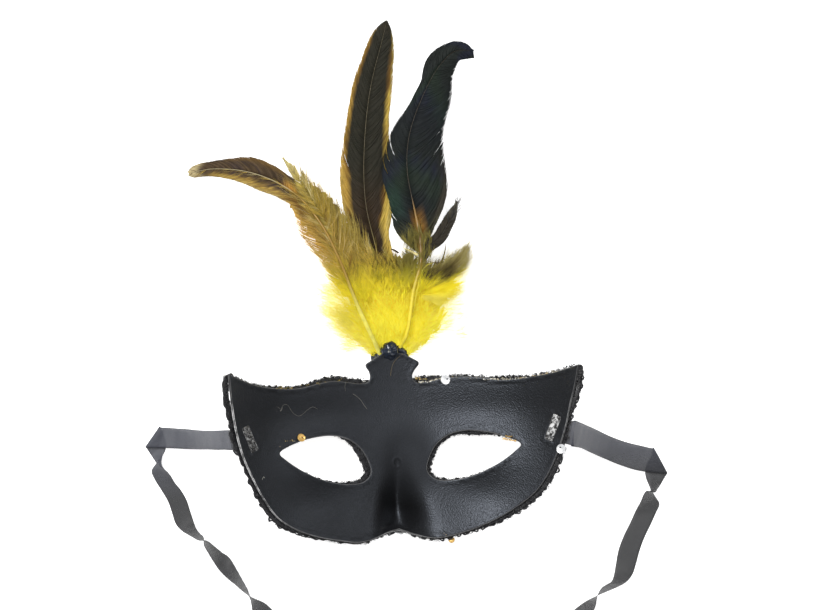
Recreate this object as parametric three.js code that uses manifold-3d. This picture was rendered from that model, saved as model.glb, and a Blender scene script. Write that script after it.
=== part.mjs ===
// A feathered half mask, lying face down. Millimetres, +Z up.
// The inside of the mask looks up. The origin is the small flat at the tip of the nose,
// on which the mask rests; +Y runs up the forehead to the feathers.
import * as THREE from 'three';
import { mergeVertices } from 'three/addons/utils/BufferGeometryUtils.js';
import Module from 'manifold-3d';

const wasm = await Module();
wasm.setup();

// ---------------------------------------------------------------- driving dimensions
const SHELL_T = 1.2;          // moulded shell thickness
const BOWL_A = 104;           // half width at which the side wall would stand upright
const BOWL_B = 78;            // depth of that ellipse
const CHEEK_Z = 17;           // height of the cheeks above the nose tip
const TILT = 12.5 / 76;       // forehead comes forward by this slope
const ARCH = 0.0016;          // curvature from brow to chin
const BROW_Y = 50;            // height of the brow
const EYE_X = 37;             // half the distance between the eyes
const EYE_Y = 27;
const FLAT = 0.6;             // rounding of the flat at the nose tip
const GAP = 0.58;             // clearance between touching pieces
const TRIM_PITCH = 7;         // one scallop of the edge braid
const EYE_PITCH = 5;          // one scallop of the eye braid
const RIBBON_T = 0.5;

// ---------------------------------------------------------------- small helpers
const clamp = (v, a, b) => Math.min(b, Math.max(a, v));

// smooth value through [t, v, ...] rows, flat beyond the ends
function along(rows, t, k = 1) {
  const n = rows.length;
  if (t <= rows[0][0]) return rows[0][k];
  if (t >= rows[n - 1][0]) return rows[n - 1][k];
  let i = 0;
  while (rows[i + 1][0] < t) i++;
  const slope = (j) => (j <= 0 || j >= n - 1 ? 0 : (rows[j + 1][k] - rows[j - 1][k]) / (rows[j + 1][0] - rows[j - 1][0]));
  const h = rows[i + 1][0] - rows[i][0];
  const u = (t - rows[i][0]) / h;
  const a = rows[i][k], b = rows[i + 1][k], m0 = slope(i) * h, m1 = slope(i + 1) * h;
  return (2 * u ** 3 - 3 * u ** 2 + 1) * a + (u ** 3 - 2 * u ** 2 + u) * m0 + (-2 * u ** 3 + 3 * u ** 2) * b + (u ** 3 - u ** 2) * m1;
}

// keeps positions only, welds, and turns the faces outward
function solid(geometry) {
  geometry.deleteAttribute('normal');
  geometry.deleteAttribute('uv');
  const g = mergeVertices(geometry, 1e-4);
  const kept = [];
  for (let i = 0, t = g.index.array; i < t.length; i += 3) {
    if (t[i] !== t[i + 1] && t[i + 1] !== t[i + 2] && t[i] !== t[i + 2]) kept.push(t[i], t[i + 1], t[i + 2]);
  }
  g.setIndex(kept);
  const p = g.attributes.position, ix = g.index.array;
  const a = new THREE.Vector3(), b = new THREE.Vector3(), c = new THREE.Vector3();
  let vol = 0;
  for (let i = 0; i < ix.length; i += 3) {
    a.fromBufferAttribute(p, ix[i]); b.fromBufferAttribute(p, ix[i + 1]); c.fromBufferAttribute(p, ix[i + 2]);
    vol += a.dot(b.cross(c));
  }
  if (vol < 0) for (let i = 0; i < ix.length; i += 3) { const s = ix[i]; ix[i] = ix[i + 1]; ix[i + 1] = s; }
  g.computeVertexNormals();
  return g;
}

// moves every vertex; vertices that lay on one spot still do afterwards
function deform(geometry, fn) {
  const p = geometry.attributes.position, seen = new Map(), E = 2000;
  for (let i = 0; i < p.count; i++) {
    const q = [p.getX(i), p.getY(i), p.getZ(i)];
    const cell = q.map((v) => Math.round(v * E));
    let same = null;
    for (let k = 0; k < 27 && !same; k++) {
      same = seen.get([cell[0] + (k % 3) - 1, cell[1] + (Math.floor(k / 3) % 3) - 1, cell[2] + Math.floor(k / 9) - 1].join());
    }
    const v = same || fn(...q, i);
    if (!same) seen.set(cell.join(), v);
    p.setXYZ(i, v.x, v.y, v.z);
  }
  return geometry;
}

function toManifold(geometry) {
  const g = solid(geometry.clone());
  return new wasm.Manifold(new wasm.Mesh({
    numProp: 3,
    vertProperties: new Float32Array(g.attributes.position.array),
    triVerts: new Uint32Array(g.index.array),
  }));
}

function fromManifold(m) {
  const mesh = m.getMesh();
  const g = new THREE.BufferGeometry();
  const pos = new Float32Array((mesh.vertProperties.length / mesh.numProp) * 3);
  for (let i = 0, j = 0; i < mesh.vertProperties.length; i += mesh.numProp, j += 3) {
    pos[j] = mesh.vertProperties[i]; pos[j + 1] = mesh.vertProperties[i + 1]; pos[j + 2] = mesh.vertProperties[i + 2];
  }
  g.setAttribute('position', new THREE.BufferAttribute(pos, 3));
  g.setIndex(new THREE.BufferAttribute(new Uint32Array(mesh.triVerts), 1));
  return g;
}

// evenly stepped polyline through control points
function smooth(points, step, closed = false, tension = 0.5) {
  const c = new THREE.CatmullRomCurve3(points.map((p) => new THREE.Vector3(p[0], p[1], p[2] || 0)), closed, 'centripetal', tension);
  c.arcLengthDivisions = 1200;
  const n = Math.max(2, Math.round(c.getLength() / step));
  return c.getSpacedPoints(n);
}

// ---------------------------------------------------------------- the moulded surface
const NOSE_DEPTH = [[-14, 6.5], [-9.5, 11.7], [-5, 17.2], [-2.5, 18.7], [0, 18.6], [5, 17.1], [12, 13.2], [25, 5.0], [36, 1.2], [44, 0]];
const NOSE_FLAT = 3;          // half width of the flat spot under the nose tip

// height of the front (lower) face of the shell
function frontZ(x, y) {
  const ax = Math.abs(x);
  let z = CHEEK_Z - (y + 10) * TILT + ARCH * (y - 30) ** 2;
  z += BOWL_B * (1 - Math.sqrt(Math.max(0.02, 1 - (ax / BOWL_A) ** 2))) * (1 + 0.003 * (y - 30));
  const wn = clamp(9 + ((25 - y) * 9) / 34, 7.5, 19);
  const core = NOSE_FLAT * Math.exp(-(((y - 0.5) / 8) ** 4));
  const t = Math.max(0, ax - core) / (wn - core);
  if (t < 1) z -= along(NOSE_DEPTH, y) * (1 - t * t) ** 2;
  z -= 2.2 * Math.exp(-(((y - BROW_Y) / 9) ** 2)) * Math.exp(-(((ax - 38) / 26) ** 2));
  z += 2.5 * Math.exp(-(((ax - EYE_X) / 22) ** 2) - ((y - EYE_Y) / 11) ** 2);
  z -= 1.5 * Math.exp(-(((ax - 42) / 20) ** 2) - ((y - 4) / 12) ** 2);
  if (z <= -FLAT) return 0;
  if (z < FLAT) return (z + FLAT) ** 2 / (4 * FLAT);
  return z;
}

function upNormal(x, y) {
  const e = 0.25;
  return new THREE.Vector3((frontZ(x - e, y) - frontZ(x + e, y)) / (2 * e), (frontZ(x, y - e) - frontZ(x, y + e)) / (2 * e), 1).normalize();
}

// a point h above the front face, square to it; h below zero is in front of the mask
function onSkin(x, y, h) {
  return new THREE.Vector3(x, y, frontZ(x, y)).addScaledVector(upNormal(x, y), h);
}

// ---------------------------------------------------------------- outline
const TIP_R = [86.2, 71.8], TIP_L = [-84.4, 73.0], NOTCH = [0, -8.8];
const SIDE_R = [TIP_R, [84.5, 61.4], [82.5, 52.6], [80.4, 42.5], [77.8, 33.5], [74.6, 24.9], [70.2, 16.1], [65.1, 9.3], [56.6, 2.4], [48, -2.8], [38.3, -7], [27.7, -10.2], [17, -12], [8, -11], NOTCH];
const SIDE_L = [NOTCH, [-8, -9.8], [-15, -11.4], [-22, -12.4], [-31.4, -11], [-41.8, -8.7], [-52.1, -4.8], [-61.8, 1.8], [-69, 12.2], [-74.2, 22.6], [-78.6, 33.6], [-81.4, 45], [-83.2, 58], TIP_L];
const TOP_L = [TIP_L, [-77.9, 69.7], [-70.5, 66.6], [-59.9, 64.5], [-49.2, 64], [-38.5, 65.9], [-32, 66.8], [-26, 66.3], [-19, 65.1], [-14.6, 65]];
const TAB = [[-14.6, 65], [-12.9, 66.1], [-12.3, 68.2], [-12.8, 70.8], [-14.2, 73], [-14.3, 74.3], [-11.4, 76.2], [-8.2, 78.2], [-5.2, 79.5], [-0.8, 79.9], [3.8, 79.4], [9.6, 76.5], [12.4, 74.7], [12.4, 73.5], [10.4, 71], [9, 68.4], [9.2, 66], [11, 64.5]];
const TOP_R = [[11, 64.5], [16, 64.8], [23, 66.2], [31.8, 66.9], [43.7, 66.1], [51.2, 64.8], [57.8, 65], [66.7, 66.2], [76.8, 68.3], TIP_R];

const outline = [];
for (const [pts, step] of [[SIDE_R, 4], [SIDE_L, 4], [TOP_L, 4], [TAB, 2], [TOP_R, 4]]) outline.push(...smooth(pts, step).slice(0, -1));

// the eye hole, as an almond with its full end towards the nose
const EYE = [[59.8, 32.9], [50, 37.6], [41.5, 39.4], [33, 39.8], [25.5, 38.0], [19.2, 33.4], [15.1, 26.2], [14.2, 20.8], [17.6, 16.9], [24, 15.9], [31.5, 16.9], [40, 19.6], [49.5, 24.4], [56.8, 29.6]];
const eyeLoop = (side) => smooth(EYE.map(([x, y]) => [side * x, y]), 4, true).slice(0, -1);

// the slot for the ribbon, beside the temple
const SLOT = [[75.4, 47.4], [78.5, 45.9], [74.2, 34.4], [71.0, 35.9]];
const slotCorner = (side, i) => [side * SLOT[i][0], SLOT[i][1]];

function pathOf(points, Kind) {
  const s = new Kind();
  points.forEach((p, i) => (i ? s.lineTo(p.x, p.y) : s.moveTo(p.x, p.y)));
  return s;
}

// ---------------------------------------------------------------- shell
function makeShell() {
  const NX = 35, NY = 20, Y0 = -15, Y1 = 84, HALF = 92;
  const plate = new THREE.BoxGeometry(2, 2, 1, NX, NY, 1);
  deform(plate, (s, t, c) => {
    const x = HALF * (0.72 * s + 0.28 * s ** 3);
    const tt = (t + 1) / 2;
    const y = Y0 + (Y1 - Y0) * (0.78 * tt + 0.22 * tt * tt);
    return new THREE.Vector3(x, y, frontZ(x, y) + (c < 0 ? 0 : SHELL_T));
  });
  const shape = pathOf([...outline].reverse(), THREE.Shape);
  for (const side of [1, -1]) {
    shape.holes.push(pathOf(eyeLoop(side), THREE.Path));
    shape.holes.push(pathOf([0, 1, 2, 3].map((i) => new THREE.Vector2(...slotCorner(side, i))), THREE.Path));
  }
  const prism = new THREE.ExtrudeGeometry(shape, { depth: 260, bevelEnabled: false, steps: 1 });
  prism.translate(0, 0, -60);
  const cut = fromManifold(toManifold(plate).intersect(toManifold(prism)));
  deform(cut, (x, y, z) => onSkin(x, y, z - frontZ(x, y) > SHELL_T / 2 ? SHELL_T : 0));
  return solid(cut);
}

// ---------------------------------------------------------------- braid
// A scalloped gimp braid round a closed loop of plan points, on the front face.
// lap is how far its middle lies inside the edge, half its half width, both on the skin.
function makeBraid(loop, inward, { pitch, sides, lap, half, wave, depth }) {
  const c = new THREE.CatmullRomCurve3(loop, true, 'centripetal');
  c.arcLengthDivisions = 2000;
  const scallops = Math.round(c.getLength() / pitch);
  const steps = scallops * 2;
  const ring = new THREE.TorusGeometry(10, 1, sides, steps);
  const at = [];
  for (let i = 0; i < steps; i++) {
    const u = i / steps;
    const p = c.getPointAt(u), t = c.getTangentAt(u);
    const m = new THREE.Vector2(-t.y, t.x).multiplyScalar(inward).normalize();
    const n = upNormal(p.x, p.y);
    const drop = Math.abs(n.x * m.x + n.y * m.y) / n.z;
    at.push({ p, m, k: 1 / Math.sqrt(1 + drop * drop), w: half + (i % 2 ? -wave : wave) / 2 });
  }
  deform(ring, (x, y, z, index) => {
    const i = (index % (steps + 1)) % steps, j = Math.floor(index / (steps + 1)) % sides;
    const s = at[i], a = (j / sides) * Math.PI * 2;
    const u = lap + s.w * Math.cos(a);
    return onSkin(s.p.x + s.m.x * u * s.k, s.p.y + s.m.y * u * s.k, -GAP - depth / 2 + (depth / 2) * Math.sin(a));
  });
  return solid(ring);
}

// ---------------------------------------------------------------- feathers
// shaft: control points; vane rows: [part of length, left half width, right half width]
function makeFeather(shaft, vane, { quill = 0.6, thick = 0.55, from = 0.2, rows = 18, sides = 8, back = 0 } = {}) {
  const c = new THREE.CatmullRomCurve3(shaft.map((p) => new THREE.Vector3(...p)), false, 'centripetal');
  c.arcLengthDivisions = 1200;
  const body = new THREE.CylinderGeometry(1, 1, 1, sides, rows);
  deform(body, (x, y, z) => {
    const t = clamp(y + 0.5, 0, 1);
    const d = c.getTangentAt(t), p = c.getPointAt(t).addScaledVector(d, t > 0 ? 0 : -back);
    const right = new THREE.Vector3(d.y, -d.x, 0).normalize();
    const up = new THREE.Vector3().crossVectors(right, d).normalize();
    const h = t < from ? quill : quill + (thick - quill) * clamp((t - from) / 0.08, 0, 1);
    const w = Math.max(x < 0 ? along(vane, t, 1) : along(vane, t, 2), t < from ? quill : 0.35);
    return p.clone().addScaledVector(right, x * w).addScaledVector(up, z * h);
  });
  return solid(body);
}

const NO_VANE = [[0, 0, 0], [1, 0, 0]];
// the room that the glue leaves round one quill
const makeChannel = (shaft, rows) => makeFeather(shaft, NO_VANE, { quill: 1.15, thick: 1.15, from: 2, rows, sides: 6, back: 0.6 });

// ---------------------------------------------------------------- ribbons
// Each row holds the two edges of the ribbon: [x, y, z of one, x, y, z of the other].
function makeRibbon(rows) {
  const n = rows.length - 1;
  const A = rows.map((r) => new THREE.Vector3(r[0], r[1], r[2]));
  const B = rows.map((r) => new THREE.Vector3(r[3], r[4], r[5]));
  const normal = rows.map((r, i) => {
    const i0 = Math.max(0, i - 1), i1 = Math.min(n, i + 1);
    const mid = (k) => A[k].clone().add(B[k]).multiplyScalar(0.5);
    const d = mid(i1).sub(mid(i0));
    return new THREE.Vector3().crossVectors(B[i].clone().sub(A[i]), d).normalize();
  });
  const strip = new THREE.BoxGeometry(1, 1, 1, 2, 1, n);
  deform(strip, (x, y, z) => {
    const i = Math.round((z + 0.5) * n);
    return A[i].clone().lerp(B[i], x + 0.5).addScaledVector(normal[i], y * RIBBON_T);
  });
  return solid(strip);
}

// the glued end under the slot, then out beneath the braid and over its edge
function rooted(side, outX, yA, yB, lift) {
  const rows = [];
  for (const x of outX) rows.push([...onSkin(side * x, yA(x), -3.16).toArray(), ...onSkin(side * x, yB(x), -3.16).toArray()]);
  for (const r of lift) rows.push(r);
  return rows;
}

const RIBBON_L = [
  ...rooted(-1, [70.5, 74.5, 78.5, 81.6], (x) => 46.2 - (x - 70) * 0.02, (x) => 36.6 - (x - 70) * 0.02, [
    [-86.4, 45.9, 36.6, -86.2, 36.4, 35.8], [-89.9, 45.7, 33.2, -89.7, 36.3, 32.6]]),
  [-93.8, 45.5, 26.8, -93.6, 36.3, 26.6], [-98.3, 45.4, 17.2, -98.6, 36, 17], [-102.9, 45.7, 8.9, -103.7, 35.9, 8.7], [-108.2, 46, 3.6, -110.4, 36.2, 3.4],
  [-112.5, 46.4, 1.9, -116.8, 36.6, 1.9], [-116.2, 46.8, 1.6, -123.5, 37, 1.6], [-116.6, 47.2, 0.95, -124, 37.3, 0.95],
  [-116, 46.2, 0.26, -123.3, 36.5, 0.26], [-114.7, 43.1, 0.26, -122.2, 34.7, 0.26], [-113.7, 39.1, 0.26, -120.8, 32.5, 0.5],
  [-114, 35.7, 0.4, -119.1, 29.8, 3], [-115.7, 32.8, 0.6, -117, 27.9, 7.6], [-118.8, 29, 0.7, -114.6, 26, 7.6], [-121.2, 25.4, 0.5, -112.1, 22.9, 3],
  [-119.4, 20.3, 0.26, -109.9, 19, 0.5], [-116.5, 15.3, 0.26, -107.3, 15.6, 0.26], [-113.5, 9.6, 0.26, -104.5, 10.4, 0.26], [-111.7, 3.7, 0.26, -102.8, 4.6, 0.6],
  [-110.1, -1.4, 0.3, -101.4, -0.3, 1.6], [-107.2, -4.8, 0.5, -100.3, -3.5, 5.4], [-103.1, -7.5, 0.5, -98.8, -5.7, 8.4], [-99, -9.9, 0.6, -97, -7.6, 9.4],
  [-95.2, -10.1, 0.7, -96.9, -11.5, 9.3], [-91.3, -13.2, 0.6, -94.6, -16.2, 8.2], [-87.7, -16.4, 0.5, -92.1, -20.7, 6.2], [-84.7, -18.5, 1.2, -89.4, -25.1, 2.4],
  [-81.7, -23.4, 5.4, -85.3, -29.6, 0.7], [-78.9, -28.9, 8.6, -81.6, -32.8, 0.6], [-76, -34.8, 9.4, -78, -36.2, 0.6],
  [-74.6, -41, 8.2, -73.4, -39.4, 0.7], [-73.4, -47.2, 5.2, -67.6, -42.2, 0.6], [-68.2, -54.4, 1.4, -62.2, -47, 0.5],
  [-59, -58.6, 0.26, -54.8, -49.6, 0.3], [-44, -61.6, 0.26, -43, -51.8, 0.26], [-26, -62.4, 0.26, -26.6, -52.6, 0.26], [-8, -61, 0.26, -8.8, -51.2, 0.26],
  [10, -60, 0.26, 9.8, -50.2, 0.26], [28, -61, 0.26, 29, -51.2, 0.26], [44, -63.6, 0.26, 46, -54, 0.26], [60, -66.4, 0.26, 56.4, -56.2, 0.26],
];

const RIBBON_R = [
  ...rooted(1, [70.5, 74.5, 78.5, 81.4], (x) => 46.4 - (x - 70) * 0.2, (x) => 35.8 - (x - 70) * 0.34, [
    [84.6, 44.2, 37.0, 82.6, 31.6, 35.2], [87.8, 43, 33.6, 85.2, 31, 32.2]]),
  [91.6, 41.5, 27, 88.9, 30.1, 26.6], [99.3, 38.2, 16.5, 95.8, 27, 16.5], [108.5, 33.9, 8, 104.7, 23, 8], [117.2, 30.6, 4.2, 113.4, 19.2, 4.2],
  [124.8, 28.5, 2.2, 122.8, 16, 2.2], [131, 27, 1.6, 137.8, 13.8, 1.6], [131.4, 27.4, 0.95, 138.3, 14.1, 0.95],
  [131.3, 26.5, 0.26, 137.9, 13.2, 0.26], [130.4, 22.9, 0.26, 136.4, 11, 0.26], [127.6, 18.5, 0.26, 134.6, 8.3, 0.6],
  [126.9, 14.2, 0.4, 132.6, 6.7, 3.2], [128.1, 9.4, 0.6, 129.7, 5, 7.8], [131.3, 3, 0.7, 125.7, 6, 7.8], [133.7, -1.4, 0.5, 123.3, -0.1, 3],
  [132, -5.5, 0.26, 121.3, -4.5, 0.5], [128.9, -11.7, 0.26, 118.5, -10.2, 0.26], [125.6, -17.9, 0.26, 114.8, -17, 0.26], [122.8, -24.6, 0.26, 112, -23.8, 0.26],
  [120.7, -31.3, 0.26, 110.3, -30.8, 0.7], [118.8, -36.3, 0.3, 108.7, -36.2, 2.6], [115.6, -40, 0.45, 106.6, -38.9, 6], [110.7, -42.5, 0.5, 103.9, -39.9, 8.3],
  [105.6, -44.4, 0.6, 100.9, -41.5, 9.3], [99.6, -46.6, 0.6, 98.6, -45.2, 9.4], [94.2, -49, 0.6, 97.4, -51.4, 8], [88.4, -52.8, 0.5, 92.8, -58.4, 5.2],
  [82, -57.6, 0.3, 86.6, -65.6, 1.4], [73.4, -65.2, 0.26, 78, -74.2, 0.3], [61, -71.2, 0.26, 63.6, -80.8, 0.26], [45, -73.8, 0.26, 45.4, -83.8, 0.26],
  [26, -73, 0.26, 25.2, -83, 0.26], [7, -71.4, 0.26, 6.4, -81.4, 0.26], [-12, -71.6, 0.26, -11.2, -81.6, 0.26], [-30, -74, 0.26, -28, -84, 0.26],
  [-46, -77.4, 0.26, -41.6, -87, 0.26],
];

// ---------------------------------------------------------------- glue
function makeGluePatch(side) {
  const c = [0, 1, 2, 3].map((i) => new THREE.Vector2(...slotCorner(side, i)));
  const mid = c.reduce((s, p) => s.add(p), new THREE.Vector2()).multiplyScalar(0.25);
  const inset = (by) => c.map((p) => {
    const d = p.clone().sub(mid);
    return mid.clone().add(d.multiplyScalar(1 - by / d.length()));
  });
  const top = inset(0.88), foot = inset(1.9);
  const block = new THREE.BoxGeometry(1, 1, 1, 2, 7, 1);
  deform(block, (x, y, z) => {
    const k = z > 0 ? top : foot;
    const a = k[0].clone().lerp(k[3], 0.5 - y), b = k[1].clone().lerp(k[2], 0.5 - y);
    const p = a.lerp(b, x + 0.5);
    const bump = 0.25 * Math.sin(y * 21 + side) * Math.cos(x * 4);
    return onSkin(p.x, p.y, z > 0 ? SHELL_T + 0.1 + bump : -2.35);
  });
  return solid(block);
}

// the blob at the top of the tab and the mound that holds the quills in front of it
function makeGlueBlob(quills) {
  const ball = new THREE.SphereGeometry(1, 12, 7);
  deform(ball, (x, y, z) => new THREE.Vector3(-1.5 + 4.4 * x, 81.4 + 4.4 * y, 7.4 + 4.4 * z));
  const mound = new THREE.SphereGeometry(1, 14, 7);
  deform(mound, (x, y, z) => new THREE.Vector3(-1.2 + 9.6 * x, 78.2 + 6.4 * y, Math.max(0, 3.1 + 4.6 * z)));
  const slab = new THREE.BoxGeometry(40, 12, 2.3);
  slab.translate(0, 80.3 - 6, frontZ(0, 78) + SHELL_T / 2 + 0.05);
  let m = toManifold(ball).add(toManifold(mound)).subtract(toManifold(slab));
  for (const q of quills) m = m.subtract(toManifold(q));
  return solid(fromManifold(m));
}

// ---------------------------------------------------------------- down
const DOWN_W = [[-1, 5], [-0.7, 13], [-0.2, 25], [0.3, 30], [0.7, 25], [1, 12]];
function makeDown() {
  const g = new THREE.SphereGeometry(1, 20, 9);
  deform(g, (x, y, z) => {
    const w = along(DOWN_W, y);
    const lobe = 1 + 0.07 * Math.sin(9 * Math.atan2(x, y + 0.8));
    return new THREE.Vector3(1.6 + x * w * lobe, 106.8 + 20 * y * lobe, 6.3 + z * along([[-1, 2.2], [-0.4, 3.3], [0.4, 3.3], [1, 2.4]], y));
  });
  return solid(g);
}

// ---------------------------------------------------------------- sequins
function makeSequin(x, y, h, r, turn) {
  const s = new THREE.Shape();
  s.absarc(0, 0, r, 0, Math.PI * 2, false);
  const hole = new THREE.Path();
  hole.absarc(r * 0.38 * Math.cos(turn), r * 0.38 * Math.sin(turn), r * 0.2, 0, Math.PI * 2, true);
  s.holes.push(hole);
  const g = new THREE.ExtrudeGeometry(s, { depth: 0.4, bevelEnabled: false, curveSegments: 5 });
  const mesh = solid(g);
  mesh.applyQuaternion(new THREE.Quaternion().setFromUnitVectors(new THREE.Vector3(0, 0, 1), upNormal(x, y)));
  const p = onSkin(x, y, h);
  mesh.translate(p.x, p.y, p.z);
  return mesh;
}

// ---------------------------------------------------------------- assembly
const black = (r) => new THREE.MeshStandardMaterial({ color: 0x26272a, roughness: r, metalness: 0 });
const mat = (color, roughness, metalness = 0) => new THREE.MeshStandardMaterial({ color, roughness, metalness });
const object = new THREE.Group();
const put = (name, geometry, material) => {
  const mesh = new THREE.Mesh(geometry, material);
  mesh.name = name;
  object.add(mesh);
};

put('mask_shell', makeShell(), black(0.45));

// the braid follows the outline, but runs straight across the foot of the tab
const edge = [];
for (const pts of [SIDE_R, SIDE_L, TOP_L]) edge.push(...smooth(pts, 5).slice(0, -1));
edge.push(...smooth([[-14.6, 65], [-2, 64.8], [11, 64.5]], 6).slice(0, -1), ...smooth(TOP_R, 5).slice(0, -1));
put('edge_trim', makeBraid(edge.map((p) => p.clone()), -1, { pitch: TRIM_PITCH, sides: 5, lap: 1.2, half: 2.6, wave: 1.2, depth: 2.0 }), black(0.3));
for (const [side, name] of [[-1, 'eye_trim_left'], [1, 'eye_trim_right']]) {
  put(name, makeBraid(eyeLoop(side), side > 0 ? -1 : 1, { pitch: EYE_PITCH, sides: 5, lap: 0.7, half: 2.1, wave: 0.8, depth: 1.8 }), black(0.3));
}

const FEATHERS = {
  feather_left_curved: [[[-5.3, 73.2, 3.2], [-7, 80, 4], [-8.6, 84.3, 6.9], [-11, 89.4, 9.6], [-15.5, 96.3, 10.6], [-19.4, 108.9, 10.7], [-25.5, 126, 9.9], [-33.7, 143.4, 7.4], [-44, 157.7, 4.4], [-55, 165.9, 2.4], [-69.6, 171.7, 1.1], [-86.8, 173.5, 0.8], [-99, 171.5, 0.7]],
    [[0.25, 0.6, 0.6], [0.3, 5, 3], [0.38, 8, 4], [0.5, 11, 6], [0.56, 10, 6], [0.62, 6.2, 5], [0.7, 6.5, 6.2], [0.76, 7.3, 7.5], [0.81, 6.2, 7.7], [0.865, 5, 5.7], [0.92, 3.6, 3.7], [0.965, 2.6, 3.3], [1, 0.5, 0.5]], 0x6e5324],
  feather_left_hackle: [[[-3.4, 73.2, 3.2], [-4.9, 79.9, 3.9], [-6.2, 84.8, 6.4], [-8, 89.8, 9], [-10.7, 98.3, 11.9], [-13.6, 106.3, 12.6], [-17.2, 115.3, 12.6], [-28.2, 139.4, 10.8], [-40.2, 160.6, 7.8], [-52.2, 178.9, 4.6]],
    [[0.3, 0.6, 0.6], [0.39, 3, 3], [0.5, 5, 7], [0.61, 5.5, 9], [0.7, 5, 10], [0.81, 4, 5.4], [0.91, 2, 3.5], [1, 0.4, 0.4]], 0x9a7b2c],
  feather_centre_tall: [[[-1.6, 73.1, 3.2], [-2.4, 79.8, 3], [-2.4, 97, 2], [-3.3, 113.5, 1.3], [-6.6, 132.3, 0.9], [-10.7, 152.5, 0.8], [-11.4, 171.2, 0.8], [-9.4, 196, 0.8], [-6, 215.3, 0.8], [-0.1, 235.8, 0.7], [2.6, 245.9, 0.6]],
    [[0.2, 0.6, 0.6], [0.23, 1.2, 3], [0.3, 1.5, 7], [0.34, 2.4, 7.6], [0.4, 5, 8.5], [0.458, 8, 13], [0.51, 10.9, 13], [0.62, 11, 13], [0.7, 10, 11.8], [0.76, 9.4, 11.3], [0.82, 8.9, 10.8], [0.88, 7.5, 8.7], [0.94, 5, 6.2], [0.98, 2, 2.4], [1, 0.5, 0.5]], 0x3c3122],
  feather_right_black: [[[1.5, 73.1, 3.2], [2.6, 79.7, 3.8], [3.7, 83.2, 5.4], [5.8, 86.9, 8.2], [7.3, 92.8, 10.2], [10.2, 109.6, 10.8], [14.5, 124.3, 10.2], [14.7, 136.8, 9.2], [12.7, 149.8, 7.6], [9.8, 171.4, 5.2], [12.1, 189.4, 3.4], [22.1, 212.8, 1.8], [29.1, 223.3, 1.2], [37, 230.2, 0.9], [46.6, 230.8, 0.7]],
    [[0.33, 0.6, 0.6], [0.35, 6, 1], [0.38, 10.5, 4], [0.41, 11.7, 8], [0.453, 12, 12.2], [0.51, 11.7, 18.6], [0.575, 12.9, 19.6], [0.625, 10.9, 19], [0.676, 9, 17], [0.74, 5.2, 14.6], [0.82, 4, 11.3], [0.89, 7.3, 7], [0.946, 5, 5], [1, 3.5, 1.5]], 0x1d2420],
  feather_small_dark: [[[3.4, 73, 3.2], [4.6, 79.7, 3.9], [6, 83.6, 5.8], [8.2, 87.5, 8.4], [9.6, 93, 10.3], [11.5, 101, 11], [13, 110, 11.2], [14.3, 118, 11.5], [15.8, 125, 11.8], [18.3, 131.2, 11.6], [24.6, 136.4, 10.8], [31.9, 148.7, 9.2], [33.9, 154.2, 8.8]],
    [[0.6, 0.6, 0.6], [0.7, 2.2, 2.2], [0.78, 2.6, 2.6], [0.86, 2.6, 2.4], [0.94, 2.2, 2], [1, 0.5, 0.5]], 0x23231d],
  feather_small_olive: [[[5.3, 73, 3.2], [6.5, 79.6, 4], [8.3, 83.6, 6.2], [10.8, 87.5, 8.6], [12.3, 93, 10.2], [14, 101, 11], [15.6, 110, 11.4], [17.1, 118, 11.9], [19, 123.2, 12], [23.9, 124.9, 11.4], [31.1, 126, 10.9], [37.3, 128.6, 10.5], [43.5, 130.7, 10]],
    [[0.64, 0.6, 0.6], [0.7, 0.8, 2.5], [0.76, 0.9, 4.5], [0.84, 1.2, 6], [0.92, 1.6, 5], [1, 0.5, 0.5]], 0x565626],
};
const channels = [];
for (const [name, [shaft, vane, color]] of Object.entries(FEATHERS)) {
  put(name, makeFeather(shaft, vane), mat(color, 0.6));
  channels.push(makeChannel(shaft, 18));
}
put('glue_blob', makeGlueBlob(channels), mat(0x1f2630, 0.15));
put('down_tuft', makeDown(), mat(0xf0e030, 0.9));

put('ribbon_left', makeRibbon(RIBBON_L), mat(0x6a6b73, 0.7));
put('ribbon_right', makeRibbon(RIBBON_R), mat(0x6a6b73, 0.7));
put('glue_patch_left', makeGluePatch(-1), mat(0x8a8a90, 0.1));
put('glue_patch_right', makeGluePatch(1), mat(0xa0a0a8, 0.1));

put('sequin_silver_top', makeSequin(24.6, 65.4, SHELL_T + 0.5, 2.35, 0.3), mat(0xf2f2f2, 0.2, 0.3));
put('sequin_silver_side', makeSequin(77.6, 31.6, SHELL_T + 0.5, 2.3, 2.2), mat(0xf2f2f2, 0.2, 0.3));
put('sequin_gold_left', makeSequin(-48.4, 41.0, SHELL_T + 0.5, 2.0, 0.2), mat(0xd9952b, 0.25, 0.6));
put('sequin_gold_right', makeSequin(54.6, 36.6, SHELL_T + 0.5, 1.7, 2.6), mat(0xd9952b, 0.25, 0.6));
put('sequin_gold_bottom', makeSequin(24.2, -12.6, -3.2, 1.9, 1.2), mat(0xe6c98a, 0.25, 0.6));

export default object;
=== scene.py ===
import math

import bmesh
import bpy
import numpy as np
from mathutils import Matrix, Vector, kdtree
from mathutils.geometry import delaunay_2d_cdt


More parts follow.
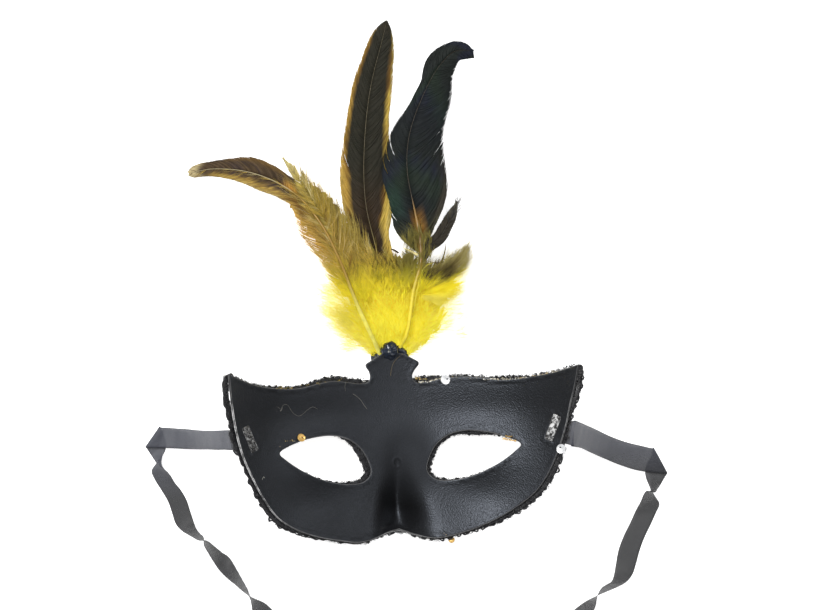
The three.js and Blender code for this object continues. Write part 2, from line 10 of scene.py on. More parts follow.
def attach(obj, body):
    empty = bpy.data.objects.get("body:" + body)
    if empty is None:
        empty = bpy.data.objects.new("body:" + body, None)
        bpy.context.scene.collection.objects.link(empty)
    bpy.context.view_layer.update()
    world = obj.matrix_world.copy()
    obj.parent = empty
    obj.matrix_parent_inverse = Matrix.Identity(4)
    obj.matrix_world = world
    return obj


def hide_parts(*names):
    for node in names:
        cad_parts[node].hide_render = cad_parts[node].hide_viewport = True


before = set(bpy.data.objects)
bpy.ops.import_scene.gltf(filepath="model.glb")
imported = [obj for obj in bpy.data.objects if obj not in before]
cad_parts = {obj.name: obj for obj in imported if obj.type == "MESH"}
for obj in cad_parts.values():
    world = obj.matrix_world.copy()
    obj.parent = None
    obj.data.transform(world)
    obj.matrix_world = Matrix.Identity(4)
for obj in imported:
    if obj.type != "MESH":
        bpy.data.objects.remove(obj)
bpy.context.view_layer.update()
MM = 0.001
RNG = np.random.default_rng(7)


# ------------------------------------------------------------------ camera
# The photograph looks down on the mask, turned a little to the left and rolled a little.
YAW, ROLL, FAR = math.radians(7.0), math.radians(1.8), 1200.0
TARGET = np.array([8.052, 103.215, 0.0])
W_AX = np.array([-math.sin(YAW), 0, math.cos(YAW)])
R0, U0 = np.array([math.cos(YAW), 0, math.sin(YAW)]), np.array([0, 1.0, 0])
R_AX = R0 * math.cos(ROLL) - U0 * math.sin(ROLL)
U_AX = R0 * math.sin(ROLL) + U0 * math.cos(ROLL)
cam_data = bpy.data.cameras.new("camera")
cam_data.sensor_width = 36.0
cam_data.lens = 36.0 * 2400.0 / 813.0
cam_data.clip_start, cam_data.clip_end = 0.05, 20.0
camera = bpy.data.objects.new("camera", cam_data)
eye = (TARGET + W_AX * FAR) * MM
camera.matrix_world = Matrix((
    (R_AX[0], U_AX[0], W_AX[0], eye[0]),
    (R_AX[1], U_AX[1], W_AX[1], eye[1]),
    (R_AX[2], U_AX[2], W_AX[2], eye[2]),
    (0, 0, 0, 1)))
bpy.context.scene.collection.objects.link(camera)
bpy.context.scene.camera = camera


def unproject(px, py, z):
    """The point at height z that the photograph's frame shows at px, py."""
    c = TARGET + W_AX * FAR
    d = -W_AX + R_AX * (px - 406.5) / 2400.0 - U_AX * (py - 305.0) / 2400.0
    return c + d * (z - c[2]) / d[2]


# ------------------------------------------------------------------ the moulded surface
SHELL_T = 1.2
BOWL_A, BOWL_B, CHEEK_Z, TILT, ARCH, BROW_Y = 104.0, 78.0, 17.0, 12.5 / 76, 0.0016, 50.0
EYE_X, EYE_Y, FLAT, GAP, NOSE_FLAT = 37.0, 27.0, 0.6, 0.58, 3.0
NOSE_DEPTH = [[-14, 6.5], [-9.5, 11.7], [-5, 17.2], [-2.5, 18.7], [0, 18.6], [5, 17.1], [12, 13.2], [25, 5.0], [36, 1.2], [44, 0]]
NOSE_INSIDE = [[-14, 6.2], [-9.5, 11.0], [-5, 15.4], [0, 16.6], [5, 15.6], [9, 13.6], [14, 9.6], [20, 5.4], [28, 2.2], [36, 0.6], [44, 0]]


def along(rows, t, k=1):
    rows = np.asarray(rows, float)
    x, y = rows[:, 0], rows[:, k]
    t = np.clip(np.asarray(t, float), x[0], x[-1])
    i = np.clip(np.searchsorted(x, t, side="right") - 1, 0, len(x) - 2)
    m = np.zeros(len(x))
    m[1:-1] = (y[2:] - y[:-2]) / (x[2:] - x[:-2])
    h = x[i + 1] - x[i]
    u = (t - x[i]) / h
    return ((2 * u**3 - 3 * u**2 + 1) * y[i] + (u**3 - 2 * u**2 + u) * m[i] * h
            + (-2 * u**3 + 3 * u**2) * y[i + 1] + (u**3 - u**2) * m[i + 1] * h)


def bowl_z(x, y):
    """The mask without its nose."""
    x, y = np.asarray(x, float), np.asarray(y, float)
    ax = np.abs(x)
    z = CHEEK_Z - (y + 10) * TILT + ARCH * (y - 30) ** 2
    z = z + BOWL_B * (1 - np.sqrt(np.maximum(0.02, 1 - (ax / BOWL_A) ** 2))) * (1 + 0.003 * (y - 30))
    z = z - 2.2 * np.exp(-((y - BROW_Y) / 9) ** 2) * np.exp(-((ax - 38) / 26) ** 2)
    z = z + 2.5 * np.exp(-((ax - EYE_X) / 22) ** 2 - ((y - EYE_Y) / 11) ** 2)
    return z - 1.5 * np.exp(-((ax - 42) / 20) ** 2 - ((y - 4) / 12) ** 2)


def front_z(x, y):
    x, y = np.asarray(x, float), np.asarray(y, float)
    wn = np.clip(9 + ((25 - y) * 9) / 34, 7.5, 19)
    core = NOSE_FLAT * np.exp(-(((y - 0.5) / 8) ** 4))
    t = np.minimum(np.maximum(0, np.abs(x) - core) / (wn - core), 1)
    z = bowl_z(x, y) - along(NOSE_DEPTH, y) * (1 - t * t) ** 2
    return np.where(z <= -FLAT, 0, np.where(z < FLAT, (z + FLAT) ** 2 / (4 * FLAT), z))


def inner_z(x, y):
    """The inside of the mask before its wall is added: a softer hollow for the nose and a fuller brow than outside."""
    x, y = np.asarray(x, float), np.asarray(y, float)
    w = 0.57 * np.clip(9 + ((25 - y) * 9) / 34, 10.5, 19)
    brow = 1.2 * np.exp(-((y - BROW_Y) / 9) ** 2) * np.exp(-((np.abs(x) - 38) / 26) ** 2)
    return bowl_z(x, y) - along(NOSE_INSIDE, y) * np.exp(-(np.abs(x / w) ** 2.0)) + brow


def inner_skin(x, y, h):
    e = 0.25
    n = np.stack([(inner_z(x - e, y) - inner_z(x + e, y)) / (2 * e), (inner_z(x, y - e) - inner_z(x, y + e)) / (2 * e), np.ones_like(x)], -1)
    return np.stack([x, y, inner_z(x, y)], -1) + unit(n) * np.asarray(h, float)[..., None]


def step(x, lo, hi):
    t = np.clip((np.asarray(x, float) - lo) / (hi - lo), 0, 1)
    return t * t * (3 - 2 * t)


def up_normal(x, y):
    e = 0.25
    n = np.stack([(front_z(x - e, y) - front_z(x + e, y)) / (2 * e),
                  (front_z(x, y - e) - front_z(x, y + e)) / (2 * e), np.ones_like(np.asarray(x, float))], -1)
    return n / np.linalg.norm(n, axis=-1, keepdims=True)


def on_skin(x, y, h):
    """A point h above the front face, square to it. Below zero is in front of the mask."""
    x, y = np.asarray(x, float), np.asarray(y, float)
    return np.stack([x, y, front_z(x, y)], -1) + up_normal(x, y) * np.asarray(h, float)[..., None]


def inside_skin(x, y, h):
    w = float(step(70 - abs(x), 0, 20))
    return on_skin(x, y, h) * (1 - w) + inner_skin(np.float64(x), np.float64(y), h) * w


def seen_on_skin(px, py, h=SHELL_T):
    z = 12.0
    for _ in range(60):
        p = unproject(px, py, z)
        z += 0.6 * (float(inside_skin(p[0], p[1], h)[2]) - z)
    return p


# ------------------------------------------------------------------ curves
def catmull(points, closed=False, per=24):
    """Centripetal Catmull-Rom through the points."""
    P = np.asarray(points, float)
    if P.shape[1] == 2:
        P = np.column_stack([P, np.zeros(len(P))])
    n = len(P)
    out = []
    for i in range(n if closed else n - 1):
        p1, p2 = P[i], P[(i + 1) % n]
        p0 = P[(i - 1) % n] if closed or i > 0 else 2 * P[0] - P[1]
        p3 = P[(i + 2) % n] if closed or i + 2 < n else 2 * P[-1] - P[-2]
        d0, d1, d2 = (max(1e-4, np.linalg.norm(b - a)) ** 0.5 for a, b in ((p0, p1), (p1, p2), (p2, p3)))
        m1 = ((p1 - p0) / d0 - (p2 - p0) / (d0 + d1) + (p2 - p1) / d1) * d1
        m2 = ((p2 - p1) / d1 - (p3 - p1) / (d1 + d2) + (p3 - p2) / d2) * d1
        u = np.linspace(0, 1, per, endpoint=False)[:, None]
        out.append((2 * u**3 - 3 * u**2 + 1) * p1 + (u**3 - 2 * u**2 + u) * m1 + (-2 * u**3 + 3 * u**2) * p2 + (u**3 - u**2) * m2)
    if not closed:
        out.append(P[-1:])
    return np.concatenate(out)


class Line:
    """A polyline that is read by its arc length."""

    def __init__(self, pts, closed=False):
        pts = np.asarray(pts, float)
        if closed:
            pts = np.concatenate([pts, pts[:1]])
        self.p = pts
        self.s = np.concatenate([[0], np.cumsum(np.linalg.norm(np.diff(pts, axis=0), axis=1))])
        self.length = self.s[-1]
        self.closed = closed

    def at(self, s):
        s = np.asarray(s, float)
        if self.closed:
            s = s % self.length
        return np.stack([np.interp(s, self.s, self.p[:, k]) for k in range(self.p.shape[1])], -1)

    def tangent(self, s, e=0.4):
        s = np.asarray(s, float)
        if self.closed:
            d = self.at(s + e) - self.at(s - e)
        else:
            d = self.at(np.minimum(s + e, self.length)) - self.at(np.maximum(s - e, 0))
        return d / np.maximum(1e-9, np.linalg.norm(d, axis=-1, keepdims=True))


def smooth(points, step, closed=False):
    line = Line(catmull(points, closed), closed)
    n = max(2, round(line.length / step))
    return line.at(np.linspace(0, line.length, n + 1))


def unit(v):
    return v / np.maximum(1e-12, np.linalg.norm(v, axis=-1, keepdims=True))


# ------------------------------------------------------------------ meshes
ROOT = "root"


def make_mesh(name, co, faces, material, slot=None, colours=None, uv=None, face_mats=None, replaces=(), smooth_shade=True):
    """co in millimetres; faces is a list of index arrays, each (n, corners)."""
    me = bpy.data.meshes.new(name)
    co = np.asarray(co, np.float32) * MM
    me.vertices.add(len(co))
    me.vertices.foreach_set("co", co.ravel())
    loops = np.concatenate([np.asarray(f, np.int32).ravel() for f in faces])
    sizes = np.concatenate([np.full(len(f), np.shape(f)[1], np.int32) for f in faces])
    me.loops.add(len(loops))
    me.loops.foreach_set("vertex_index", loops)
    me.polygons.add(len(sizes))
    me.polygons.foreach_set("loop_start", np.concatenate([[0], np.cumsum(sizes)[:-1]]).astype(np.int32))
    me.polygons.foreach_set("loop_total", sizes)
    if face_mats is not None:
        me.polygons.foreach_set("material_index", np.asarray(face_mats, np.int32))
    me.update(calc_edges=True)
    me.validate()
    if smooth_shade:
        me.polygons.foreach_set("use_smooth", np.ones(len(me.polygons), bool))
    if colours is not None:
        a = me.color_attributes.new("Col", "FLOAT_COLOR", "POINT")
        c = np.ones((len(co), 4), np.float32)
        c[:, :3] = colours
        a.data.foreach_set("color", c.ravel())
    if uv is not None:
        layer = me.uv_layers.new(name="UVMap")
        layer.data.foreach_set("uv", np.asarray(uv, np.float32)[loops].ravel())
    for m in material if isinstance(material, (list, tuple)) else [material]:
        me.materials.append(m)
    ob = bpy.data.objects.new(name, me)
    bpy.context.scene.collection.objects.link(ob)
    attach(ob, ROOT)
    if replaces:
        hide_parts(*replaces)
    return ob


class Heap:
    """Gathers many small closed shells into one mesh."""

    def __init__(self):
        self.co, self.faces, self.col, self.n = [], {}, [], 0

    def add(self, co, faces, col=None):
        co = np.asarray(co, float).reshape(-1, 3)
        self.co.append(co)
        for f in faces:
            f = np.asarray(f)
            if len(f):
                self.faces.setdefault(f.shape[1], []).append(f + self.n)
        if col is not None:
            self.col.append(np.broadcast_to(np.asarray(col, float).reshape(-1, 3), co.shape) if np.size(col) == 3 else np.asarray(col, float).reshape(-1, 3))
        self.n += len(co)

    def mesh(self, name, material, **kw):
        faces = [np.concatenate(v) for v in self.faces.values()]
        return make_mesh(name, np.concatenate(self.co), faces, material, colours=np.concatenate(self.col) if self.col else None, **kw)


def strands(P, W, H, ref, C=None, sides=4):
    """Tapered closed blades along the paths P (n, k, 3); W and H are half width and half thickness (n, k)."""
    P = np.asarray(P, float)
    n, k, _ = P.shape
    T = unit(np.gradient(P, axis=1))
    S = unit(np.cross(T, np.broadcast_to(np.asarray(ref, float), P.shape)))
    U = np.cross(S, T)
    a = 2 * np.pi * np.arange(sides) / sides
    W, H = np.broadcast_to(W, (n, k)), np.broadcast_to(H, (n, k))
    ring = (P[:, :-1, None, :] + (W[:, :-1, None] * np.cos(a))[..., None] * S[:, :-1, None, :]
            + (H[:, :-1, None] * np.sin(a))[..., None] * U[:, :-1, None, :])
    per = (k - 1) * sides + 1
    co = np.concatenate([ring.reshape(n, (k - 1) * sides, 3), P[:, -1:, :]], 1).reshape(-1, 3)
    j, i = np.meshgrid(np.arange(sides), np.arange(k - 2))
    q = np.stack([i * sides + j, i * sides + (j + 1) % sides, (i + 1) * sides + (j + 1) % sides, (i + 1) * sides + j], -1).reshape(-1, 4)
    last = (k - 2) * sides
    jj = np.arange(sides)
    tip = np.stack([last + jj, last + (jj + 1) % sides, np.full(sides, per - 1)], -1)
    base = np.arange(n)[:, None, None] * per
    cap = np.arange(sides)[::-1][None, :]
    faces = [(q[None] + base).reshape(-1, 4), (tip[None] + base).reshape(-1, 3), (cap[None] + base).reshape(-1, sides)]
    col = None
    if C is not None:
        C = np.broadcast_to(C, (n, k, 3))
        col = np.concatenate([np.repeat(C[:, :-1, :], sides, axis=1), C[:, -1:, :]], 1).reshape(-1, 3)
    return co, faces, col


def tube(path, radius, sides=8, squash=1.0, ref=(0, 0, 1)):
    """One closed tube along a path, rounded off at both ends."""
    P = np.asarray(path, float)
    k = len(P)
    r = np.broadcast_to(np.asarray(radius, float), (k,))
    T = unit(np.gradient(P, axis=0))
    S = unit(np.cross(T, np.broadcast_to(np.asarray(ref, float), P.shape)))
    U = np.cross(S, T)
    a = 2 * np.pi * np.arange(sides) / sides
    ring = P[:, None] + (r[:, None] * np.cos(a))[..., None] * S[:, None] + (squash * r[:, None] * np.sin(a))[..., None] * U[:, None]
    co = np.concatenate([ring.reshape(-1, 3), [P[0] - T[0] * r[0] * 0.5], [P[-1] + T[-1] * r[-1] * 0.5]])
    j, i = np.meshgrid(np.arange(sides), np.arange(k - 1))
    q = np.stack([i * sides + j, i * sides + (j + 1) % sides, (i + 1) * sides + (j + 1) % sides, (i + 1) * sides + j], -1).reshape(-1, 4)
    jj = np.arange(sides)
    c0 = np.stack([(jj + 1) % sides, jj, np.full(sides, k * sides)], -1)
    c1 = np.stack([(k - 1) * sides + jj, (k - 1) * sides + (jj + 1) % sides, np.full(sides, k * sides + 1)], -1)
    return co, [q, np.concatenate([c0, c1])]


# ------------------------------------------------------------------ materials
def new_mat(name, base=(0.5, 0.5, 0.5), rough=0.5, **sockets):
    m = bpy.data.materials.new(name)
    m.use_nodes = True
    b = m.node_tree.nodes["Principled BSDF"]
    b.inputs["Base Color"].default_value = (*base, 1)
    b.inputs["Roughness"].default_value = rough
    for k, v in sockets.items():
        key = k.replace("_", " ")
        b.inputs[key].default_value = (*v, 1) if isinstance(v, tuple) and len(v) == 3 and "Radius" not in key else v
    return m, m.node_tree, b


def nd(tree, kind, **props):
    n = tree.nodes.new(kind)
    for k, v in props.items():
        if k in n.inputs:
            n.inputs[k].default_value = v
        else:
            setattr(n, k, v)
    return n


def ln(tree, a, b):
    tree.links.new(a, b)


def coords(tree, scale=(1, 1, 1)):
    tc = nd(tree, "ShaderNodeTexCoord")
    mp = nd(tree, "ShaderNodeMapping")
    mp.inputs["Scale"].default_value = scale
    ln(tree, tc.outputs["Object"], mp.inputs["Vector"])
    return mp.outputs["Vector"]


def noise(tree, vec, scale, detail=3.0, rough=0.5, distort=0.0):
    n = nd(tree, "ShaderNodeTexNoise")
    n.inputs["Scale"].default_value = scale
    n.inputs["Detail"].default_value = detail
    n.inputs["Roughness"].default_value = rough
    n.inputs["Distortion"].default_value = distort
    ln(tree, vec, n.inputs["Vector"])
    return n.outputs["Fac"]


def ramp(tree, fac, stops):
    r = nd(tree, "ShaderNodeValToRGB")
    e = r.color_ramp.elements
    e[0].position, e[1].position = stops[0][0], stops[-1][0]
    e[0].color, e[1].color = (*stops[0][1], 1), (*stops[-1][1], 1)
    for pos, col in stops[1:-1]:
        x = e.new(pos)
        x.color = (*col, 1)
    ln(tree, fac, r.inputs["Fac"])
    return r.outputs["Color"]


def grey(v):
    return (v, v, v)


def mixc(tree, fac, a, b, mode="MIX"):
    m = nd(tree, "ShaderNodeMix", data_type="RGBA", blend_type=mode)
    if isinstance(fac, (int, float)):
        m.inputs[0].default_value = fac
    else:
        ln(tree, fac, m.inputs[0])
    for sock, v in ((m.inputs[6], a), (m.inputs[7], b)):
        if isinstance(v, tuple):
            sock.default_value = (*v, 1)
        else:
            ln(tree, v, sock)
    return m.outputs[2]


def math_node(tree, op, a, b=0.0, clamp=False):
    m = nd(tree, "ShaderNodeMath", operation=op)
    m.use_clamp = clamp
    for sock, v in ((m.inputs[0], a), (m.inputs[1], b)):
        if isinstance(v, (int, float)):
            sock.default_value = v
        else:
            ln(tree, v, sock)
    return m.outputs[0]


def bump(tree, bsdf, height, strength, distance_m):
    b = nd(tree, "ShaderNodeBump")
    b.inputs["Strength"].default_value = strength
    b.inputs["Distance"].default_value = distance_m
    ln(tree, height, b.inputs["Height"])
    ln(tree, b.outputs["Normal"], bsdf.inputs["Normal"])


def mat_shell():
    m, t, b = new_mat("moulded_inside", rough=0.40, Specular_Tint=(0.80, 0.87, 1.0))
    v = coords(t)
    vor = nd(t, "ShaderNodeTexVoronoi", feature="SMOOTH_F1")
    vor.inputs["Scale"].default_value = 1700
    vor.inputs["Smoothness"].default_value = 0.6
    wob = noise(t, v, 900, 3, 0.6)
    ln(t, v, vor.inputs["Vector"])
    h = math_node(t, "ADD", vor.outputs["Distance"], math_node(t, "MULTIPLY", wob, 0.8))
    bump(t, b, h, 0.6, 0.00019)
    broad = noise(t, v, 30, 3, 0.55)
    fine = noise(t, v, 900, 2, 0.6)
    c = ramp(t, broad, [(0.3, (0.0052, 0.0052, 0.0050)), (0.7, (0.0074, 0.0074, 0.0080))])
    c = mixc(t, math_node(t, "MULTIPLY", ramp(t, fine, [(0.58, grey(0)), (0.8, grey(1))]), 0.25), c, (0.020, 0.020, 0.022))
    ln(t, c, b.inputs["Base Color"])
    # duller skin round the bridge of the nose, where the sheet was drawn deepest
    sep = nd(t, "ShaderNodeSeparateXYZ")
    ln(t, v, sep.inputs[0])
    kx = math_node(t, "MULTIPLY", math_node(t, "ADD", sep.outputs[0], -0.005), 52.0)
    ky = math_node(t, "MULTIPLY", math_node(t, "ADD", sep.outputs[1], -0.027), 42.0)
    far = math_node(t, "ADD", math_node(t, "MULTIPLY", kx, kx), math_node(t, "MULTIPLY", ky, ky))
    dull = ramp(t, far, [(0.2, grey(1)), (1.0, grey(0))])
    ln(t, mixc(t, dull, ramp(t, broad, [(0.3, grey(0.36)), (0.7, grey(0.43))]), grey(0.72)), b.inputs["Roughness"])
    return m


def mat_front():
    m, t, b = new_mat("front_satin", rough=0.5)
    v = coords(t)
    w = nd(t, "ShaderNodeTexWave", wave_type="BANDS", bands_direction="DIAGONAL")
    w.inputs["Scale"].default_value = 900
    w.inputs["Distortion"].default_value = 1.5
    ln(t, v, w.inputs["Vector"])
    bump(t, b, w.outputs["Fac"], 0.25, 0.0001)
    ln(t, ramp(t, noise(t, v, 60), [(0.3, (0.010, 0.010, 0.011)), (0.7, (0.02, 0.02, 0.022))]), b.inputs["Base Color"])
    return m


def mat_rim(light, name):
    m, t, b = new_mat(name, rough=0.5)
    v = coords(t)
    n = noise(t, v, 260, 4, 0.65)
    sep = nd(t, "ShaderNodeSeparateXYZ")
    ln(t, v, sep.inputs[0])
    where = math_node(t, "ADD", math_node(t, "MULTIPLY", sep.outputs[0], 5.0), 0.5)
    # the edge is pale plastic in broken patches; it is made brightest down the left side, where the cut edge faces the
    # light, as painted highlight, and faint elsewhere
    side = ramp(t, where, [(0.17, grey(1.0)), (0.23, grey(0.08)), (0.40, grey(0.04)), (0.46, grey(0.14)), (0.6, grey(0.06)), (0.86, grey(0.06)), (0.90, grey(0.3))])
    upper = ramp(t, math_node(t, "MULTIPLY", sep.outputs[1], 10.0), [(0.54, grey(1.0)), (0.59, grey(0.10))])
    k = math_node(t, "MULTIPLY", ramp(t, n, [(0.42, grey(0.1)), (0.54, grey(1))]), math_node(t, "MULTIPLY", side, upper))
    c = mixc(t, k, (light * 0.12, light * 0.12, light * 0.125), (light, light, light))
    ln(t, c, b.inputs["Base Color"])
    return m


def mat_braid():
    m, t, b = new_mat("black_braid", rough=0.28)
    v = coords(t)
    w = nd(t, "ShaderNodeTexWave", wave_type="BANDS", bands_direction="DIAGONAL")
    w.inputs["Scale"].default_value = 1400
    w.inputs["Distortion"].default_value = 4
    ln(t, v, w.inputs["Vector"])
    bump(t, b, w.outputs["Fac"], 0.6, 0.0002)
    n = noise(t, v, 700, 3, 0.6)
    ln(t, ramp(t, n, [(0.35, (0.008, 0.008, 0.009)), (0.62, (0.02, 0.02, 0.023)), (0.75, (0.07, 0.072, 0.08))]), b.inputs["Base Color"])
    ln(t, ramp(t, n, [(0.3, grey(0.2)), (0.7, grey(0.42))]), b.inputs["Roughness"])
    return m


def mat_attr(name, rough=0.55, scale=500.0, spread=0.35, glow=0.0, **kw):
    """Colour from the mesh's own colour attribute, broken up by fine noise."""
    m, t, b = new_mat(name, rough=rough, **kw)
    at = nd(t, "ShaderNodeAttribute", attribute_name="Col")
    v = coords(t)
    n = noise(t, v, scale, 4, 0.6)
    k = ramp(t, n, [(0.25, grey(1 - spread)), (0.75, grey(1 + spread * 0.6))])
    c = mixc(t, 1.0, at.outputs["Color"], k, "MULTIPLY")
    ln(t, c, b.inputs["Base Color"])
    if glow:  # painted glow: emission standing in for light that has gone through the fine barbs
        ln(t, c, b.inputs["Emission Color"])
        b.inputs["Emission Strength"].default_value = glow
    bump(t, b, n, 0.2, 0.0001)
    return m


def mat_ribbon():
    m, t, b = new_mat("grey_satin_ribbon", rough=0.5, Alpha=0.78)
    uv = nd(t, "ShaderNodeUVMap", uv_map="UVMap")
    mp = nd(t, "ShaderNodeMapping")
    mp.inputs["Scale"].default_value = (60, 4, 1)
    ln(t, uv.outputs[0], mp.inputs["Vector"])
    streak = noise(t, mp.outputs[0], 1.0, 3, 0.6)
    mp2 = nd(t, "ShaderNodeMapping")
    mp2.inputs["Scale"].default_value = (8, 90, 1)
    ln(t, uv.outputs[0], mp2.inputs["Vector"])
    cross = noise(t, mp2.outputs[0], 1.0, 2, 0.5)
    sep = nd(t, "ShaderNodeSeparateXYZ")
    ln(t, uv.outputs[0], sep.inputs[0])
    edge = math_node(t, "ABSOLUTE", math_node(t, "SUBTRACT", sep.outputs[0], 0.5))
    sel = ramp(t, edge, [(0.455, grey(0)), (0.475, grey(1))])
    k = math_node(t, "ADD", math_node(t, "MULTIPLY", streak, 0.65), math_node(t, "MULTIPLY", cross, 0.35))
    c = ramp(t, k, [(0.3, (0.052, 0.053, 0.062)), (0.7, (0.088, 0.09, 0.103))])
    c = mixc(t, math_node(t, "MULTIPLY", sel, 0.6), c, (0.03, 0.03, 0.036))
    # painted shade: the colour is darkened below y = 30 mm, most below 10 mm, away from where the ribbons leave the
    # mask; above, a slight blue tint stands for painted light
    pos = nd(t, "ShaderNodeSeparateXYZ")
    ln(t, coords(t), pos.inputs[0])
    c = mixc(t, 1.0, c, ramp(t, math_node(t, "MULTIPLY", pos.outputs[1], 10.0), [(0.10, (0.28, 0.28, 0.27)), (0.30, (1.0, 1.04, 1.14))]), "MULTIPLY")
    ln(t, c, b.inputs["Base Color"])
    thread = nd(t, "ShaderNodeTexWave", wave_type="BANDS", bands_direction="X")
    thread.inputs["Scale"].default_value = 14
    thread.inputs["Distortion"].default_value = 0.4
    ln(t, uv.outputs[0], thread.inputs["Vector"])
    bump(t, b, thread.outputs["Fac"], 0.35, 0.0001)
    return m


def mat_glue_dark():
    m, t, b = new_mat("dark_glue", rough=0.12)
    v = coords(t)
    n = noise(t, v, 220, 3, 0.6)
    ln(t, ramp(t, n, [(0.35, (0.008, 0.011, 0.018)), (0.6, (0.02, 0.028, 0.045)), (0.75, (0.16, 0.15, 0.03))]), b.inputs["Base Color"])
    bump(t, b, noise(t, v, 400, 3, 0.5), 0.5, 0.0004)
    return m


def mat_glue_clear(name, lo, hi):
    m, t, b = new_mat(name, rough=0.14)
    v = coords(t)
    n = noise(t, v, 520, 4, 0.65, 1.2)
    # the light streaks follow the ridges that the same noise bumps: on the right patch they are partly whitened glue
    # and partly painted highlight; on the darker left patch they are painted highlight
    ln(t, ramp(t, n, [(0.44, grey(lo)), (0.52, grey((lo + hi) * 0.3)), (0.60, grey(hi))]), b.inputs["Base Color"])
    bump(t, b, n, 0.9, 0.0009)
    return m


def mat_metal(name, base, rough=0.25, metallic=0.7):
    m, t, b = new_mat(name, rough=rough, Metallic=metallic)
    v = coords(t)
    n = noise(t, v, 900, 3, 0.6)
    lo = tuple(c * 0.75 for c in base)
    ln(t, ramp(t, n, [(0.3, lo), (0.6, base)]), b.inputs["Base Color"])
    bump(t, b, n, 0.15, 0.0001)
    return m


SHELL, FRONT = mat_shell(), mat_front()
# the inner edge's light grey is a painted highlight on the bevel of the cut edge
RIM_IN_HIGHLIGHT, RIM_DARK, RIM_OUT = mat_rim(0.6, "rim_inner_edge_painted_highlight"), mat_rim(0.05, "rim_wall"), mat_rim(1.0, "rim_outer_edge")
BRAID = mat_braid()
# the barbs and the down glow faintly: painted glow
FEATHER = mat_attr("feather_barbs", 0.65, 350, 0.2, glow=0.05, Specular_IOR_Level=0.22)
QUILL = mat_attr("feather_quill", 0.35, 300, 0.2)
DOWN = mat_attr("yellow_down", 0.8, 200, 0.12, glow=0.17, Specular_IOR_Level=0.2)
GLITTER = mat_attr("glitter", 0.25, 900, 0.3)
RIBBON = mat_ribbon()
GLUE = mat_glue_dark()
GLUE_R, GLUE_L = mat_glue_clear("clear_glue_right", 0.010, 0.80), mat_glue_clear("clear_glue_left", 0.008, 0.26)
SILVER = mat_metal("silver_sequin", (0.93, 0.94, 0.95), 0.3, 0.35)
GOLD = mat_metal("gold_sequin", (0.83, 0.52, 0.16), 0.3, 0.5)
FIBRE = mat_attr("pale_fibre", 0.6, 900, 0.3)

# ------------------------------------------------------------------ outlines in plan
TIP_R, TIP_L, NOTCH = [86.2, 71.8], [-84.4, 73.0], [0, -8.8]
SIDE_R = [TIP_R, [84.5, 61.4], [82.5, 52.6], [80.4, 42.5], [77.8, 33.5], [74.6, 24.9], [70.2, 16.1], [65.1, 9.3], [56.6, 2.4], [48, -2.8], [38.3, -7], [27.7, -10.2], [17, -12], [8, -11], NOTCH]
SIDE_L = [NOTCH, [-8, -9.8], [-15, -11.4], [-22, -12.4], [-31.4, -11], [-41.8, -8.7], [-52.1, -4.8], [-61.8, 1.8], [-69, 12.2], [-74.2, 22.6], [-78.6, 33.6], [-81.4, 45], [-83.2, 58], TIP_L]
TOP_L = [TIP_L, [-77.9, 69.7], [-70.5, 66.6], [-59.9, 64.5], [-49.2, 64], [-38.5, 65.9], [-32, 66.8], [-26, 66.3], [-19, 65.1], [-14.6, 65]]
TAB = [[-14.6, 65], [-12.9, 66.1], [-12.3, 68.2], [-12.8, 70.8], [-14.2, 73], [-14.3, 74.3], [-11.4, 76.2], [-8.2, 78.2], [-5.2, 79.5], [-0.8, 79.9], [3.8, 79.4], [9.6, 76.5], [12.4, 74.7], [12.4, 73.5], [10.4, 71], [9, 68.4], [9.2, 66], [11, 64.5]]
TOP_R = [[11, 64.5], [16, 64.8], [23, 66.2], [31.8, 66.9], [43.7, 66.1], [51.2, 64.8], [57.8, 65], [66.7, 66.2], [76.8, 68.3], TIP_R]
EYE = [[59.8, 32.9], [50, 37.6], [41.5, 39.4], [33, 39.8], [25.5, 38.0], [19.2, 33.4], [15.1, 26.2], [14.2, 20.8], [17.6, 16.9], [24, 15.9], [31.5, 16.9], [40, 19.6], [49.5, 24.4], [56.8, 29.6]]
SLOT = [[75.4, 47.4], [78.5, 45.9], [74.2, 34.4], [71.0, 35.9]]


def outline_loop(step):
    parts = [smooth(p, min(step, s))[:-1, :2] for p, s in ((SIDE_R, 9), (SIDE_L, 9), (TOP_L, 9), (TAB, 0.7), (TOP_R, 9))]
    return np.concatenate(parts)


def eye_loop(side, step):
    return smooth([[side * x, y] for x, y in EYE], step, True)[:-1, :2]


def slot_loop(side, step):
    c = np.array([[side * x, y] for x, y in SLOT], float)
    out = []
    for i in range(4):
        a, b = c[i], c[(i + 1) % 4]
        n = max(2, round(np.linalg.norm(b - a) / step))
        u = np.linspace(0, 1, n, endpoint=False)[:, None]
        out.append(a + (b - a) * u)
    return np.concatenate(out)


def into_material(loop, hole):
    """Unit plan vectors from the loop into the shell, shortened where the skin is steep."""
    d = np.roll(loop, -1, 0) - np.roll(loop, 1, 0)
    d /= np.maximum(1e-9, np.linalg.norm(d, axis=1, keepdims=True))
    x, y = loop[:, 0], loop[:, 1]
    area = np.sum(x * np.roll(y, -1) - np.roll(x, -1) * y)
    m = np.column_stack([-d[:, 1], d[:, 0]]) * (1 if (area > 0) != hole else -1)
    n = up_normal(x, y)
    drop = np.abs(n[:, 0] * m[:, 0] + n[:, 1] * m[:, 1]) / n[:, 2]
    return m, 1 / np.sqrt(1 + drop**2)


def inside(poly, pts):
    x, y = pts[:, 0][:, None], pts[:, 1][:, None]
    ax, ay = poly[:, 0][None], poly[:, 1][None]
    bx, by = np.roll(poly[:, 0], -1)[None], np.roll(poly[:, 1], -1)[None]
    cross = (ay > y) != (by > y)
    with np.errstate(divide="ignore", invalid="ignore"):
        xs = ax + (y - ay) * (bx - ax) / (by - ay)
    return (np.sum(cross & (x < xs), axis=1) % 2) == 1


# ------------------------------------------------------------------ shell
DIMPLE = seen_on_skin(397, 462)


